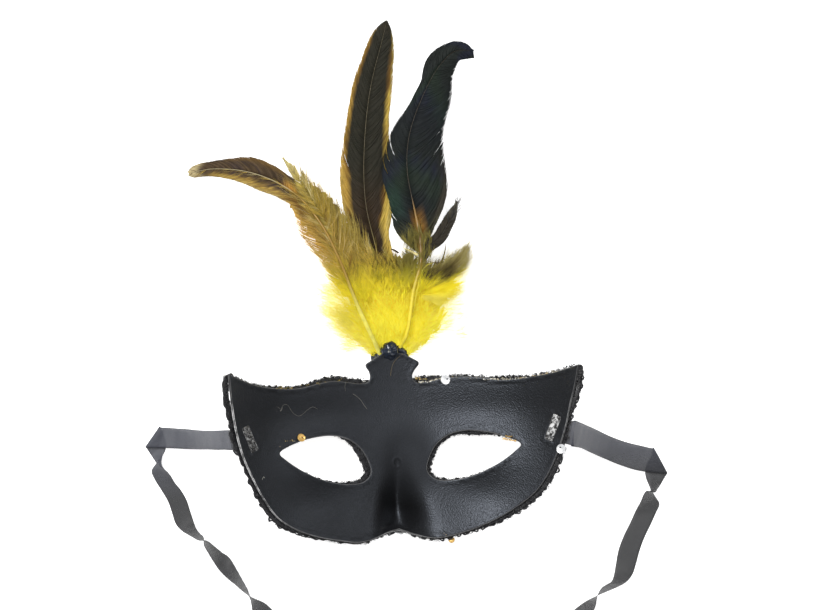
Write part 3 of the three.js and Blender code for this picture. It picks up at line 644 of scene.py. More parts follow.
def make_shell():
    loops = [(outline_loop(1.0), False)]
    for side in (1, -1):
        loops.append((eye_loop(side, 0.9), True))
        loops.append((slot_loop(side, 0.9), True))
    inset, dirs = [], []
    pts, edges = [], []
    n0 = 0
    for loop, hole in loops:
        m, k = into_material(loop, hole)
        p = loop + m * (0.24 * k)[:, None]
        inset.append(p)
        dirs.append((m, k))
        idx = np.arange(len(p)) + n0
        edges += list(zip(idx.tolist(), np.roll(idx, -1).tolist()))
        n0 += len(p)
        pts.append(p)
    second = [loop + into_material(loop, hole)[0] * (0.95 * into_material(loop, hole)[1])[:, None] for loop, hole in loops]
    fence = np.concatenate([loop for loop, _ in loops])
    tree = kdtree.KDTree(len(fence))
    for i, q in enumerate(fence):
        tree.insert((q[0], q[1], 0), i)
    tree.balance()
    gx, gy = np.meshgrid(np.arange(-90, 92, 1.5), np.arange(-16, 84, 1.3))
    gx = gx + (np.arange(gx.shape[0]) % 2)[:, None] * 0.75
    grid = np.column_stack([gx.ravel(), gy.ravel()])
    r, a = np.meshgrid(np.arange(0.0, 4.2, 0.35), np.arange(0, 2 * np.pi, 2 * np.pi / 22))
    polar = np.column_stack([(DIMPLE[0] + r * np.cos(a)).ravel(), (DIMPLE[1] + r * np.sin(a)).ravel()])
    grid = grid[np.hypot(grid[:, 0] - DIMPLE[0], grid[:, 1] - DIMPLE[1]) > 4.6]
    cand = np.concatenate([grid, polar[np.hypot(polar[:, 0] - DIMPLE[0], polar[:, 1] - DIMPLE[1]) > 0.1], DIMPLE[None, :2]])
    ok = inside(loops[0][0], cand)
    for loop, hole in loops[1:]:
        ok &= ~inside(loop, cand)
    cand = cand[ok]
    far = np.array([tree.find((q[0], q[1], 0))[2] for q in cand]) > 1.25
    cand = cand[far]
    sec = []
    for s in second:
        good = inside(loops[0][0], s)
        for loop, hole in loops[1:]:
            good &= ~inside(loop, s)
        d = np.array([tree.find((q[0], q[1], 0))[2] for q in s])
        sec.append(s[good & (d > 0.28)][::1])
    allp = np.concatenate(pts + sec + [cand])
    got = delaunay_2d_cdt([Vector((float(x), float(y))) for x, y in allp], edges, [], 0, 1e-5)
    V = np.array([[v.x, v.y] for v in got[0]])
    F = np.array([f for f in got[2] if len(f) == 3])
    c = V[F].mean(1)
    keep = inside(inset[0], c)
    for p in (inset[1], inset[2], inset[3], inset[4]):
        keep &= ~inside(p, c)
    F = F[keep]
    used = np.unique(F)
    remap = -np.ones(len(V), int)
    remap[used] = np.arange(len(used))
    V, F = V[used], remap[F]
    # faces turn up
    a, b2, c2 = V[F[:, 0]], V[F[:, 1]], V[F[:, 2]]
    cw = ((b2 - a)[:, 0] * (c2 - a)[:, 1] - (b2 - a)[:, 1] * (c2 - a)[:, 0]) < 0
    F[cw] = F[cw][:, ::-1]
    nv = len(V)
    rr = np.hypot(V[:, 0] - DIMPLE[0], V[:, 1] - DIMPLE[1])
    lift = 0.40 * np.exp(-(((rr - 2.4) / 0.55) ** 2)) - 0.35 * np.exp(-((rr / 1.5) ** 2))
    edge_d = np.array([tree.find((q[0], q[1], 0))[2] for q in V])
    lift = lift + 0.2 * np.exp(-(((edge_d - 0.95) / 0.3) ** 2)) - 0.12 * np.exp(-(((edge_d - 1.7) / 0.4) ** 2))
    top = on_skin(V[:, 0], V[:, 1], SHELL_T + lift)
    wt = (step(edge_d, 0.3, 4.5) * step(70 - np.abs(V[:, 0]), 0, 20))[:, None]
    top = top * (1 - wt) + inner_skin(V[:, 0], V[:, 1], SHELL_T + lift) * wt
    bot = on_skin(V[:, 0], V[:, 1], np.zeros(nv))
    co = [top, bot]
    faces3 = [F, F[:, ::-1] + nv]
    mats = [np.zeros(len(F), int), np.ones(len(F), int)]
    look = kdtree.KDTree(nv)
    for i, q in enumerate(V):
        look.insert((q[0], q[1], 0), i)
    look.balance()
    n0 = 2 * nv
    quads, qm = [], []
    rows = [(0.07, 1.15), (0.0, 0.98), (0.0, 0.55), (0.0, 0.14), (0.09, 0.03)]
    for (loop, hole), p, (m, k) in zip(loops, inset, dirs):
        n = len(loop)
        ti = np.array([look.find((q[0], q[1], 0))[1] for q in p])
        prev = ti
        ring_mats = [2, 2, 3, 4, 4, 1]
        order = list(rows)
        chain = [ti]
        for o, h in order:
            q = loop + m * (o * k)[:, None]
            co.append(on_skin(q[:, 0], q[:, 1], np.full(n, h)))
            chain.append(np.arange(n) + n0)
            n0 += n
        chain.append(ti + nv)
        x, y = loop[:, 0], loop[:, 1]
        ccw = np.sum(x * np.roll(y, -1) - np.roll(x, -1) * y) > 0
        flip = ccw == hole
        for a_, b_, mm in zip(chain[:-1], chain[1:], ring_mats):
            q = np.stack([a_, np.roll(a_, -1), np.roll(b_, -1), b_], -1)
            q = q[:, ::-1] if not flip else q
            quads.append(q)
            qm.append(np.full(n, mm, int))
    faces = [np.concatenate(faces3), np.concatenate(quads)]
    mats = np.concatenate(mats + qm)
    return make_mesh("mask_body", np.concatenate(co), faces, [SHELL, FRONT, RIM_IN_HIGHLIGHT, RIM_DARK, RIM_OUT], slot="moulded_shell",
                     face_mats=mats, replaces=["mask_shell"])


shell = make_shell()


# ------------------------------------------------------------------ braid
def torus(a, b, r, nu=14, nv=6, flat=1.0):
    u, v = np.meshgrid(np.arange(nu) * 2 * np.pi / nu, np.arange(nv) * 2 * np.pi / nv, indexing="ij")
    x = (a + r * np.cos(v)) * np.cos(u)
    y = (b + r * np.cos(v)) * np.sin(u)
    z = flat * r * np.sin(v)
    i, j = np.meshgrid(np.arange(nu), np.arange(nv), indexing="ij")
    q = np.stack([i * nv + j, ((i + 1) % nu) * nv + j, ((i + 1) % nu) * nv + (j + 1) % nv, i * nv + (j + 1) % nv], -1).reshape(-1, 4)
    return np.stack([x, y, z], -1).reshape(-1, 3), q


def lens(a, b, h, nu=14, nv=5):
    """A small cushion, flat ellipsoid."""
    co = [[0, 0, h]]
    for i in range(1, nv):
        t = math.pi * i / nv
        for j in range(nu):
            f = 2 * math.pi * j / nu
            co.append([a * math.sin(t) * math.cos(f), b * math.sin(t) * math.sin(f), h * math.cos(t)])
    co.append([0, 0, -h])
    co = np.array(co)
    jj = np.arange(nu)
    tri = [np.stack([np.zeros(nu, int), 1 + jj, 1 + (jj + 1) % nu], -1)]
    last = 1 + (nv - 2) * nu
    tri.append(np.stack([np.full(nu, len(co) - 1), last + (jj + 1) % nu, last + jj], -1))
    q = []
    for i in range(nv - 2):
        s = 1 + i * nu
        q.append(np.stack([s + jj, s + nu + jj, s + nu + (jj + 1) % nu, s + (jj + 1) % nu], -1))
    return co, np.concatenate(tri), np.concatenate(q)


def frames(line, s, side_in, lap, h):
    """Places on the front of the shell beside its edge: centre, along, inward, up."""
    def place(ss, ll):
        p = line.at(ss)[:, :2]
        t = line.tangent(ss)[:, :2]
        m = np.column_stack([-t[:, 1], t[:, 0]]) * side_in
        n = up_normal(p[:, 0], p[:, 1])
        drop = np.abs(n[:, 0] * m[:, 0] + n[:, 1] * m[:, 1]) / n[:, 2]
        k = 1 / np.sqrt(1 + drop**2)
        q = p + m * (np.asarray(ll) * k)[:, None]
        return on_skin(q[:, 0], q[:, 1], h)
    s = np.asarray(s, float)
    h = np.broadcast_to(np.asarray(h, float), s.shape)
    lap = np.broadcast_to(np.asarray(lap, float), s.shape)
    c = place(s, lap)
    t = unit(place(s + 0.4, lap) - place(s - 0.4, lap))
    m = unit(place(s, lap + 0.4) - place(s, lap - 0.4))
    n = unit(np.cross(t, m) * side_in)
    return c, t, m, n


def spikes(heap, line, s, side_in, lap, h, length, colour, rng, spread=0.8, r=0.13):
    c, t, m, n = frames(line, s, side_in, lap, h)
    k = len(s)
    out = -m + t * rng.normal(0, spread, (k, 1)) + n * rng.normal(0.1, 0.5, (k, 1))
    out = unit(out)
    L = length * rng.uniform(0.5, 1.3, k)
    bend = unit(rng.normal(0, 1, (k, 3))) * 0.25
    u = np.array([0, 0.4, 0.75, 1.0])
    P = c[:, None] + out[:, None] * (L[:, None] * u)[..., None] + bend[:, None] * (L[:, None] * u**2)[..., None]
    Wd = np.broadcast_to(r * np.array([1, 0.9, 0.6, 0.1]), (k, 4))
    co, faces, col = strands(P, Wd, Wd, (0.3, 0.2, 0.9), np.broadcast_to(colour, (k, 4, 3)) if np.ndim(colour) == 1 else colour, 3)
    heap.add(co, faces, col)


rng = np.random.default_rng(11)
edge_parts = {}
edge_pts = []
for label, p in (("right", SIDE_R), ("left", SIDE_L), ("top_left", TOP_L), ("foot", [[-14.6, 65], [-2, 64.8], [11, 64.5]]), ("top_right", TOP_R)):
    edge_pts.append((label, smooth(p, 1.0)[:-1, :2]))
edge_line = Line(np.column_stack([np.concatenate([q for _, q in edge_pts]), np.zeros(sum(len(q) for _, q in edge_pts))]), True)
k0 = 0
for label, q in edge_pts:
    edge_parts[label] = (edge_line.s[k0], edge_line.s[k0 + len(q)])
    k0 += len(q)


def lap_for(line, s, side_in, b, out, h, thick=0.5):
    """How far inside the edge a braid of half width b lies, so that it shows `out` millimetres beyond it from above."""
    p = line.at(s)[:, :2]
    t = line.tangent(s)[:, :2]
    m = np.column_stack([-t[:, 1], t[:, 0]]) * side_in
    n = up_normal(p[:, 0], p[:, 1])
    sn = np.clip(-(n[:, 0] * -m[:, 0] + n[:, 1] * -m[:, 1]), 0, 0.9)
    cs = np.sqrt(1 - sn**2)
    return b - (out - (abs(h) + thick) * sn) / cs


def row(heap, line, s0, s1, side_in, pitch, a, b, r, out, h, rng, fill=0.84, inner=True, wob=0.07):
    """A row of padded scallops, each one a cushion with a cord round it."""
    n = max(1, round((s1 - s0) / pitch))
    s = s0 + (np.arange(n) + 0.5) * (s1 - s0) / n + rng.normal(0, pitch * 0.05, n)
    o = out(s) if callable(out) else np.full(n, float(out))
    lap = lap_for(line, s, side_in, b + r, o + rng.normal(0, 0.12, n), h)
    c, t, m, nn = frames(line, s, side_in, lap, h)
    tc, tq = torus(a, b, r, 18, 6)
    ic, iq = torus(a * 0.5, b * 0.46, r * 0.6, 10, 5)
    lc, lt, lq = lens(a * fill, b * fill, r * 1.15, 12, 5)
    for i in range(n):
        w = rng.normal(0, 0.12)
        T = t[i] * math.cos(w) + m[i] * math.sin(w)
        M = unit(m[i] * math.cos(w) - t[i] * math.sin(w) + nn[i] * rng.normal(0, 0.14))
        N = np.cross(T, M) * side_in
        B = np.stack([T * rng.uniform(0.92, 1.08), M * rng.uniform(0.92, 1.08), N])
        ph = rng.uniform(0, 6, 2)
        an = np.arctan2(tc[:, 1], tc[:, 0])
        k = 1 + wob * np.sin(3 * an + ph[0]) + wob * 0.6 * np.sin(5 * an + ph[1])
        heap.add((tc * np.column_stack([k, k, np.ones(len(k))])) @ B + c[i], [tq])
        heap.add(lc @ B + c[i], [lt, lq])
        if inner:
            heap.add((ic + [0, 0, 0.75 * r]) @ B + c[i], [iq])


def band(heap, line, s0, s1, side_in, out, h, half, thick, pitch=1.0, rag=0.0, rng=None, closed=False):
    """The woven tape that the scallops are sewn to: one flat closed band that shows `out` beyond the edge."""
    s = np.arange(s0, s1, pitch)
    o = (out(s) if callable(out) else np.full(len(s), float(out))) + (rng.normal(0, rag, len(s)) if rng is not None else 0)
    c, t, m, n = frames(line, s, side_in, lap_for(line, s, side_in, half, o, h, 0.3), h)
    k, sides = len(s), 8
    a = 2 * np.pi * np.arange(sides) / sides
    ring = c[:, None] + (half * np.cos(a))[None, :, None] * m[:, None] + (thick * np.sin(a))[None, :, None] * n[:, None]
    last = k if closed else k - 1
    j, i = np.meshgrid(np.arange(sides), np.arange(last))
    q = np.stack([i * sides + j, ((i + 1) % k) * sides + j, ((i + 1) % k) * sides + (j + 1) % sides, i * sides + (j + 1) % sides], -1).reshape(-1, 4)
    faces = [q]
    if not closed:
        faces.append(np.array([np.arange(sides), (k - 1) * sides + np.arange(sides)[::-1]]))
    heap.add(ring.reshape(-1, 3), faces if side_in < 0 else [f[:, ::-1] for f in faces])


e0, e1 = edge_parts["right"]
l0, l1 = edge_parts["left"]
H0 = -GAP - 0.75
BLACK = np.array([0.012, 0.012, 0.013])
side_r_end, side_l_start = e0 + 60, l1 - 64
braid = Heap()
HT = -GAP - 0.62
TL, TR, FT = edge_parts["top_left"], edge_parts["top_right"], edge_parts["foot"]
OUT_R = [[0, 2.2], [4, 2.8], [8, 3.9], [14, 3.9], [20, 3.2], [27, 2.4], [33, 2.2], [38, 2.7], [46, 3.7], [58, 3.8], [66, 3.7], [78, 3.6], [84, 3.2], [90, 2.8], [98, 2.1], [109, 1.7], [120, 1.8], [129, 1.5], [137, 1.0]]
OUT_L = [[0, 2.2], [5, 3.0], [8, 4.1], [14, 4.1], [19, 3.3], [25, 3.2], [38, 2.9], [42, 2.0], [50, 2.1], [56, 2.9], [64, 3.2], [70, 3.5], [80, 3.3], [88, 2.1], [96, 1.5], [141, 1.4]]
OUT_TL = [[-80, 1.1], [-75, 1.3], [-60, 1.6], [-50, 1.7], [-42, 2.2], [-34, 2.6], [-24, 2.9], [-15, 3.0]]
OUT_TR = [[12, 3.0], [20, 2.9], [24, 1.3], [40, 1.1], [46, 1.2], [50, 2.2], [57, 2.2], [62, 1.6], [70, 1.2], [84, 1.2]]


def look_up(table, v):
    t = np.array(table, float)
    return np.interp(v, t[:, 0], t[:, 1])


def out_r(s):
    return look_up(OUT_R, s - e0)


def out_l(s):
    return look_up(OUT_L, l1 - s)


def out_t(s):
    x = edge_line.at(s)[:, 0]
    return np.where(x < 0, look_up(OUT_TL, x), look_up(OUT_TR, x))


def less(f, k):
    return lambda s: f(s) - k


def ripple(f, amp, k):
    return lambda s: f(s) + amp * np.sin(s * k)


band(braid, edge_line, e0 + 5, e1 - 2, -1, less(out_r, 0.95), HT, 2.3, 0.42, rag=0.08, rng=rng)
band(braid, edge_line, l0 + 2, l1 - 5, -1, less(out_l, 0.7), HT, 2.3, 0.42, rag=0.08, rng=rng)
band(braid, edge_line, TL[0] + 3, TL[1] - 1, -1, less(out_t, 0.75), HT, 2.0, 0.38, rag=0.12, rng=rng)
band(braid, edge_line, TR[0] + 1, TR[1] - 5, -1, less(out_t, 0.75), HT, 2.0, 0.38, rag=0.12, rng=rng)
for a0, a1 in ((e0 + 8, e1 - 5), (l0 + 5, l1 - 8), (TL[0] + 8, TL[1] - 3), (TR[0] + 3, TR[1] - 8)):
    band(braid, edge_line, a0, a1, -1, -2.6, HT, 1.1, 0.40)
    row(braid, edge_line, a0, a1, -1, 4.0, 1.6, 1.0, 0.34, -3.0, H0 - 0.1, rng, inner=False)
row(braid, edge_line, e0 + 4, side_r_end, -1, 5.2, 2.4, 2.3, 0.45, ripple(out_r, 0.25, 1.7), H0, rng, wob=0.14)
row(braid, edge_line, side_r_end, e1, -1, 4.3, 1.9, 2.1, 0.42, ripple(out_r, 0.12, 2.3), H0, rng, wob=0.12)
row(braid, edge_line, l0, side_l_start, -1, 6.2, 2.75, 2.1, 0.46, ripple(out_l, 0.35, 2.1), H0, rng, wob=0.24)
row(braid, edge_line, side_l_start, l1 - 4, -1, 6.1, 2.75, 2.4, 0.52, ripple(lambda s: out_l(s) + 0.25, 0.15, 1.9), H0, rng, wob=0.12)
for a0, a1 in ((TL[0] + 1.5, TL[1]), (TR[0], TR[1] - 2.5)):
    row(braid, edge_line, a0, a1, -1, 2.9, 1.3, 1.6, 0.36, ripple(less(out_t, 0.35), 0.3, 1.9), H0, rng, inner=False, wob=0.24)


def cushion(px, py, a, b, turn):
    """One scallop on its own, where the braid is folded round a tip."""
    c = seen_on_skin(px, py, H0)
    n = up_normal(c[0], c[1])
    t = unit(np.cross([-math.sin(turn), math.cos(turn), 0], n))
    M = np.cross(n, t)
    B = np.stack([t, M, n])
    tc, tq = torus(a, b, 0.45, 20, 8)
    lc, lt, lq = lens(a * 0.85, b * 0.85, 0.5, 14, 6)
    braid.add(tc @ B + c, [tq])
    braid.add(lc @ B + c, [lt, lq])


for k in ((366.3, 383.4, 2.0, 1.4, 0.2), (414.0, 381.6, 1.8, 1.4, -0.2), (230.6, 376.4, 1.5, 1.2, 0.3), (226.6, 378.6, 1.8, 1.3, 0.9), (580.4, 367.8, 1.3, 1.2, 0.8), (581.2, 372.4, 1.6, 1.2, 1.5), (224.6, 384.5, 2.2, 1.6, 1.4), (229.8, 379.3, 2.0, 1.5, 0.6), (225.6, 389, 2.4, 1.7, 1.5), (577.6, 372.6, 1.7, 1.5, 1.3), (577.9, 378.6, 1.8, 1.5, 1.6)):
    cushion(*k)
a0, a1 = edge_parts["foot"]
row(braid, edge_line, a0, a1, -1, 4.3, 1.75, 1.6, 0.45, -0.6, H0 - 0.3, rng)
braid_ob = braid.mesh("edge_braid", BRAID, slot="braid", replaces=["edge_trim"])

THREAD = mat_attr("black_thread", 0.4, 900, 0.3)
thorns = Heap()
for (a0, a1), per_mm, ln_mm, out in (((e0 + 3, side_r_end), 1.6, 0.9, less(out_r, 0.3)), ((side_r_end, e1), 2.0, 0.9, less(out_r, 0.3)), ((l0, side_l_start), 2.6, 1.0, less(out_l, 0.35)), ((side_l_start, l1 - 3), 1.0, 0.8, less(out_l, 0.2)),
                                     ((TL[0] + 0.5, TL[1]), 5.0, 1.1, less(out_t, 0.5)), ((TR[0], TR[1] - 2), 6.0, 1.4, less(out_t, 0.4))):
    n = int((a1 - a0) * per_mm)
    s = rng.uniform(a0, a1, n)
    lap = lap_for(edge_line, s, -1, 0.0, out(s) - rng.uniform(0.0, 0.6, n), H0)
    spikes(thorns, edge_line, s, -1, lap, H0 + rng.uniform(-0.3, 0.5, n), ln_mm, BLACK, rng)
thorns.mesh("braid_threads", THREAD, slot="braid")

for side, name in ((1, "right"), (-1, "left")):
    loop = eye_loop(side, 0.8)
    line = Line(np.column_stack([loop, np.zeros(len(loop))]), True)
    sgn = -1 if side > 0 else 1
    L = line.length

    def show(s, side=side, line=line):
        """How much of the eye braid shows: most beside the nose and over the right eye, little below."""
        p = line.at(s)
        ang = np.arctan2(p[:, 1] - 27.5, side * p[:, 0] - 36.5)
        inner = np.exp(-((np.abs(ang) - math.pi) / 0.75) ** 2)
        top = np.exp(-((ang - 1.5) / 0.8) ** 2)
        outer = np.exp(-(ang / 0.5) ** 2)
        return (0.12 + 2.3 * inner + 2.2 * top - 0.7 * outer) if side > 0 else (0.45 + 3.2 * inner - 0.9 * top - 0.6 * outer)

    hp = Heap()
    row(hp, line, 0, L, sgn, 3.4 if side > 0 else 5.2, 1.5 if side > 0 else 2.3, 1.5, 0.38, show, -GAP - 0.62, rng, wob=0.14)
    band(hp, line, 0, L - 0.8, sgn, lambda s: show(s) - 0.4, -GAP - 0.55, 2.1, 0.38, closed=True)
    hp.mesh("eye_braid_" + name, BRAID, slot="braid", replaces=["eye_trim_" + name])
    th = Heap()
    n = 420
    s = rng.uniform(0, L, n)
    spikes(th, line, s, sgn, lap_for(line, s, sgn, 0.0, show(s) - rng.uniform(0, 0.5, n), 1.2), -GAP - 0.6 + rng.uniform(-0.3, 0.4, n), 0.6, BLACK, rng)
    th.mesh("eye_threads_" + name, THREAD, slot="braid")


# ------------------------------------------------------------------ small discs sewn to the front of the braid
def discs(name, material, slot, line, sgn, pitch, inward, h, r, closed, seed):
    g = np.random.default_rng(seed)
    heap = Heap()
    L = line.length
    s = np.arange(2.0, L - (0.0 if closed else 3.0), pitch)
    s = s + g.normal(0, 0.4, len(s))
    c, t, m, n = frames(line, s, sgn, inward, h)
    lc, lt, lq = lens(r, r, 0.22, 16, 4)
    for i in range(len(s)):
        nn = unit(n[i] + g.normal(0, 0.12, 3))
        T = unit(np.cross(m[i], nn))
        M = np.cross(nn, T)
        heap.add(lc @ np.stack([T, M, nn]) + c[i], [lt, lq])
    return heap.mesh(name, material, slot=slot)


discs("front_discs_silver", SILVER, "sequin_silver", edge_line, -1, 9.0, 2.0, -GAP - 1.55, 1.9, False, 61)
for side, nm in ((1, "right"), (-1, "left")):
    lp = eye_loop(side, 0.8)
    discs("front_discs_gold_" + nm, GOLD, "sequin_gold", Line(np.column_stack([lp, np.zeros(len(lp))]), True), -1 if side > 0 else 1, 7.5, 2.2, -GAP - 1.4, 1.5, True, 62 + side)


# ------------------------------------------------------------------ glitter along the upper edge
def flakes(name, rows, seed):
    g = np.random.default_rng(seed)
    heap = Heap()
    cube = np.array([[x, y, z] for z in (-1, 1) for y in (-1, 1) for x in (-1, 1)], float)
    quads = np.array([[0, 2, 3, 1], [4, 5, 7, 6], [0, 1, 5, 4], [2, 6, 7, 3], [0, 4, 6, 2], [1, 3, 7, 5]])
    for (xa, ya), (xb, yb), n, size, spread, cols in rows:
        for i in range(n):
            u = g.uniform()
            x, y = xa + (xb - xa) * u + g.normal(0, spread), ya + (yb - ya) * u + g.normal(0, spread)
            p = seen_on_skin(x, y, SHELL_T + g.uniform(-0.3, 0.25))
            r = Matrix.Rotation(g.uniform(0, 6.28), 3, "Z") @ Matrix.Rotation(g.normal(0, 0.6), 3, "X") @ Matrix.Rotation(g.normal(0, 0.6), 3, "Y")
            k = np.array([size * g.uniform(0.5, 1.9), size * g.uniform(0.3, 0.8), 0.05])
            c = np.array(cols[g.integers(len(cols))], float) / 255
            c = np.where(c <= 0.04045, c / 12.92, ((c + 0.055) / 1.055) ** 2.4)
            heap.add((cube * k) @ np.array(r).T + p, [quads], c)
    return heap.mesh(name, GLITTER, slot="sequin_silver", smooth_shade=False)


# the near-white flakes stand in for glints among the glitter: painted glints
GLINT_WHITE, BEIGE, WARM, MOSS = (236, 234, 226), (196, 186, 160), (186, 158, 92), (120, 108, 52)
flakes("glitter_flakes", [
    ((484, 379.5), (520, 378.8), 46, 0.34, 0.5, [GLINT_WHITE, BEIGE, BEIGE]),
    ((520, 378.5), (560, 371.5), 60, 0.34, 0.6, [GLINT_WHITE, BEIGE, BEIGE, WARM]),
    ((419, 382.2), (432, 381.4), 26, 0.32, 0.35, [GLINT_WHITE, BEIGE]),
    ((431, 380.6), (441, 378.4), 20, 0.30, 0.35, [GLINT_WHITE, BEIGE]),
    ((452, 377.2), (484, 378.4), 18, 0.26, 0.5, [BEIGE, WARM, MOSS]),
    ((415, 377.5), (428, 380.0), 22, 0.36, 0.7, [MOSS, WARM, BEIGE]),
    ((275, 387.5), (291, 388.5), 22, 0.32, 0.9, [MOSS, WARM, MOSS]),
    ((296, 386.0), (345, 379.5), 18, 0.22, 0.6, [MOSS, WARM]),
    ((231, 379.5), (262, 388.5), 12, 0.22, 0.6, [MOSS, (70, 66, 50)]),
    ((363.2, 382.0), (365.4, 381.2), 4, 0.3, 0.2, [GLINT_WHITE]),
    ((285, 441.8), (296, 440.2), 7, 0.30, 0.4, [(214, 200, 166), (196, 170, 110)]),
    ((278, 446.5), (283, 446.0), 3, 0.24, 0.3, [(200, 180, 140)]),
    ((503, 438.6), (516, 440.8), 34, 0.34, 0.3, [(255, 214, 140), (240, 190, 104), (255, 232, 180)]),
    ((443.5, 533.5), (448, 536.5), 5, 0.34, 0.5, [(220, 176, 110), (236, 206, 150)]),
], 5)


# ------------------------------------------------------------------ feathers
def srgb(r, g, b):
    c = np.array([r, g, b], float) / 255
    return np.where(c <= 0.04045, c / 12.92, ((c + 0.055) / 1.055) ** 2.4)


def lerp(a, b, t):
    t = np.asarray(t, float)[..., None]
    return a + (b - a) * np.clip(t, 0, 1)


def meets(vane, s0, L, ratio, k):
    """How far up the shaft each barb runs before it meets the edge of the vane."""
    g = np.linspace(0, 1, 140)
    f = g[None] * (L - s0)[:, None]
    hit = f >= ratio[:, None] * along(vane, (s0[:, None] + f) / L, k)
    i = np.where(hit.any(1), np.argmax(hit, 1), len(g) - 1)
    return f[np.arange(len(s0)), i]


def shaft_frame(line, s):
    T = line.tangent(s, 1.2)
    R = unit(np.stack([T[..., 1], -T[..., 0], np.zeros(T.shape[:-1])], -1))
    return T, R, unit(np.cross(R, T))


def fluffy(heap, line, g, count, t_range, length, sgn, colour, angle=(0.95, 0.28), up=(0.3, 0.9), thick=0.075, curl=0.5, sweep=0.35, lift=0.0, lock=7):
    """Soft barbs without hooks that cling together in small locks."""
    L = line.length
    m = max(1, count // lock)
    idx = g.integers(0, m, count)
    sf = np.clip(g.uniform(t_range[0], t_range[1], m)[idx] + g.normal(0, 0.0035, count), 0, 0.995) * L
    k = 6
    u = np.linspace(0, 1, k)
    LL = length * g.uniform(0.45, 1.2, m)[idx] * g.uniform(0.8, 1.1, count)
    T, R, U = shaft_frame(line, sf)
    a = g.normal(angle[0], angle[1], m)[idx] + g.normal(0, 0.07, count)
    D = T * np.cos(a)[:, None] + R * (sgn * np.sin(a))[:, None]
    cu = g.normal(0, curl, m)[idx] + g.normal(0, curl * 0.25, count)
    P = (line.at(sf)[:, None] + D[:, None] * (LL[:, None] * u)[..., None]
         + T[:, None] * (LL[:, None] * sweep * u**2)[..., None]
         + R[:, None] * ((cu * LL)[:, None] * 0.18 * u**2)[..., None]
         + U[:, None] * (lift + (g.normal(up[0], up[1], m)[idx] + g.normal(0, 0.12, count))[:, None] * 2.2 * u)[..., None])
    wig = 0.22 * np.sin(u[None] * g.uniform(4, 13, (count, 1)) + g.uniform(0, 6, (count, 1)))
    P = P + R[:, None] * (wig * u)[..., None]
    P[..., 2] = np.maximum(P[..., 2], 0.15)
    rnd = np.clip(g.uniform(0, 1, m)[idx] + g.normal(0, 0.12, count), 0, 1)[:, None]
    C = colour(sf[:, None] / L + 0 * u, u[None] + 0 * sf[:, None], sgn, rnd + 0 * u[None], P)
    w = thick * np.array([1, 1, 1, 0.9, 0.65, 0.1])
    co, faces, col = strands(P, np.broadcast_to(w, (count, k)), np.broadcast_to(w, (count, k)), (0.1, 0.2, 1), C, 3)
    heap.add(co, faces, col)


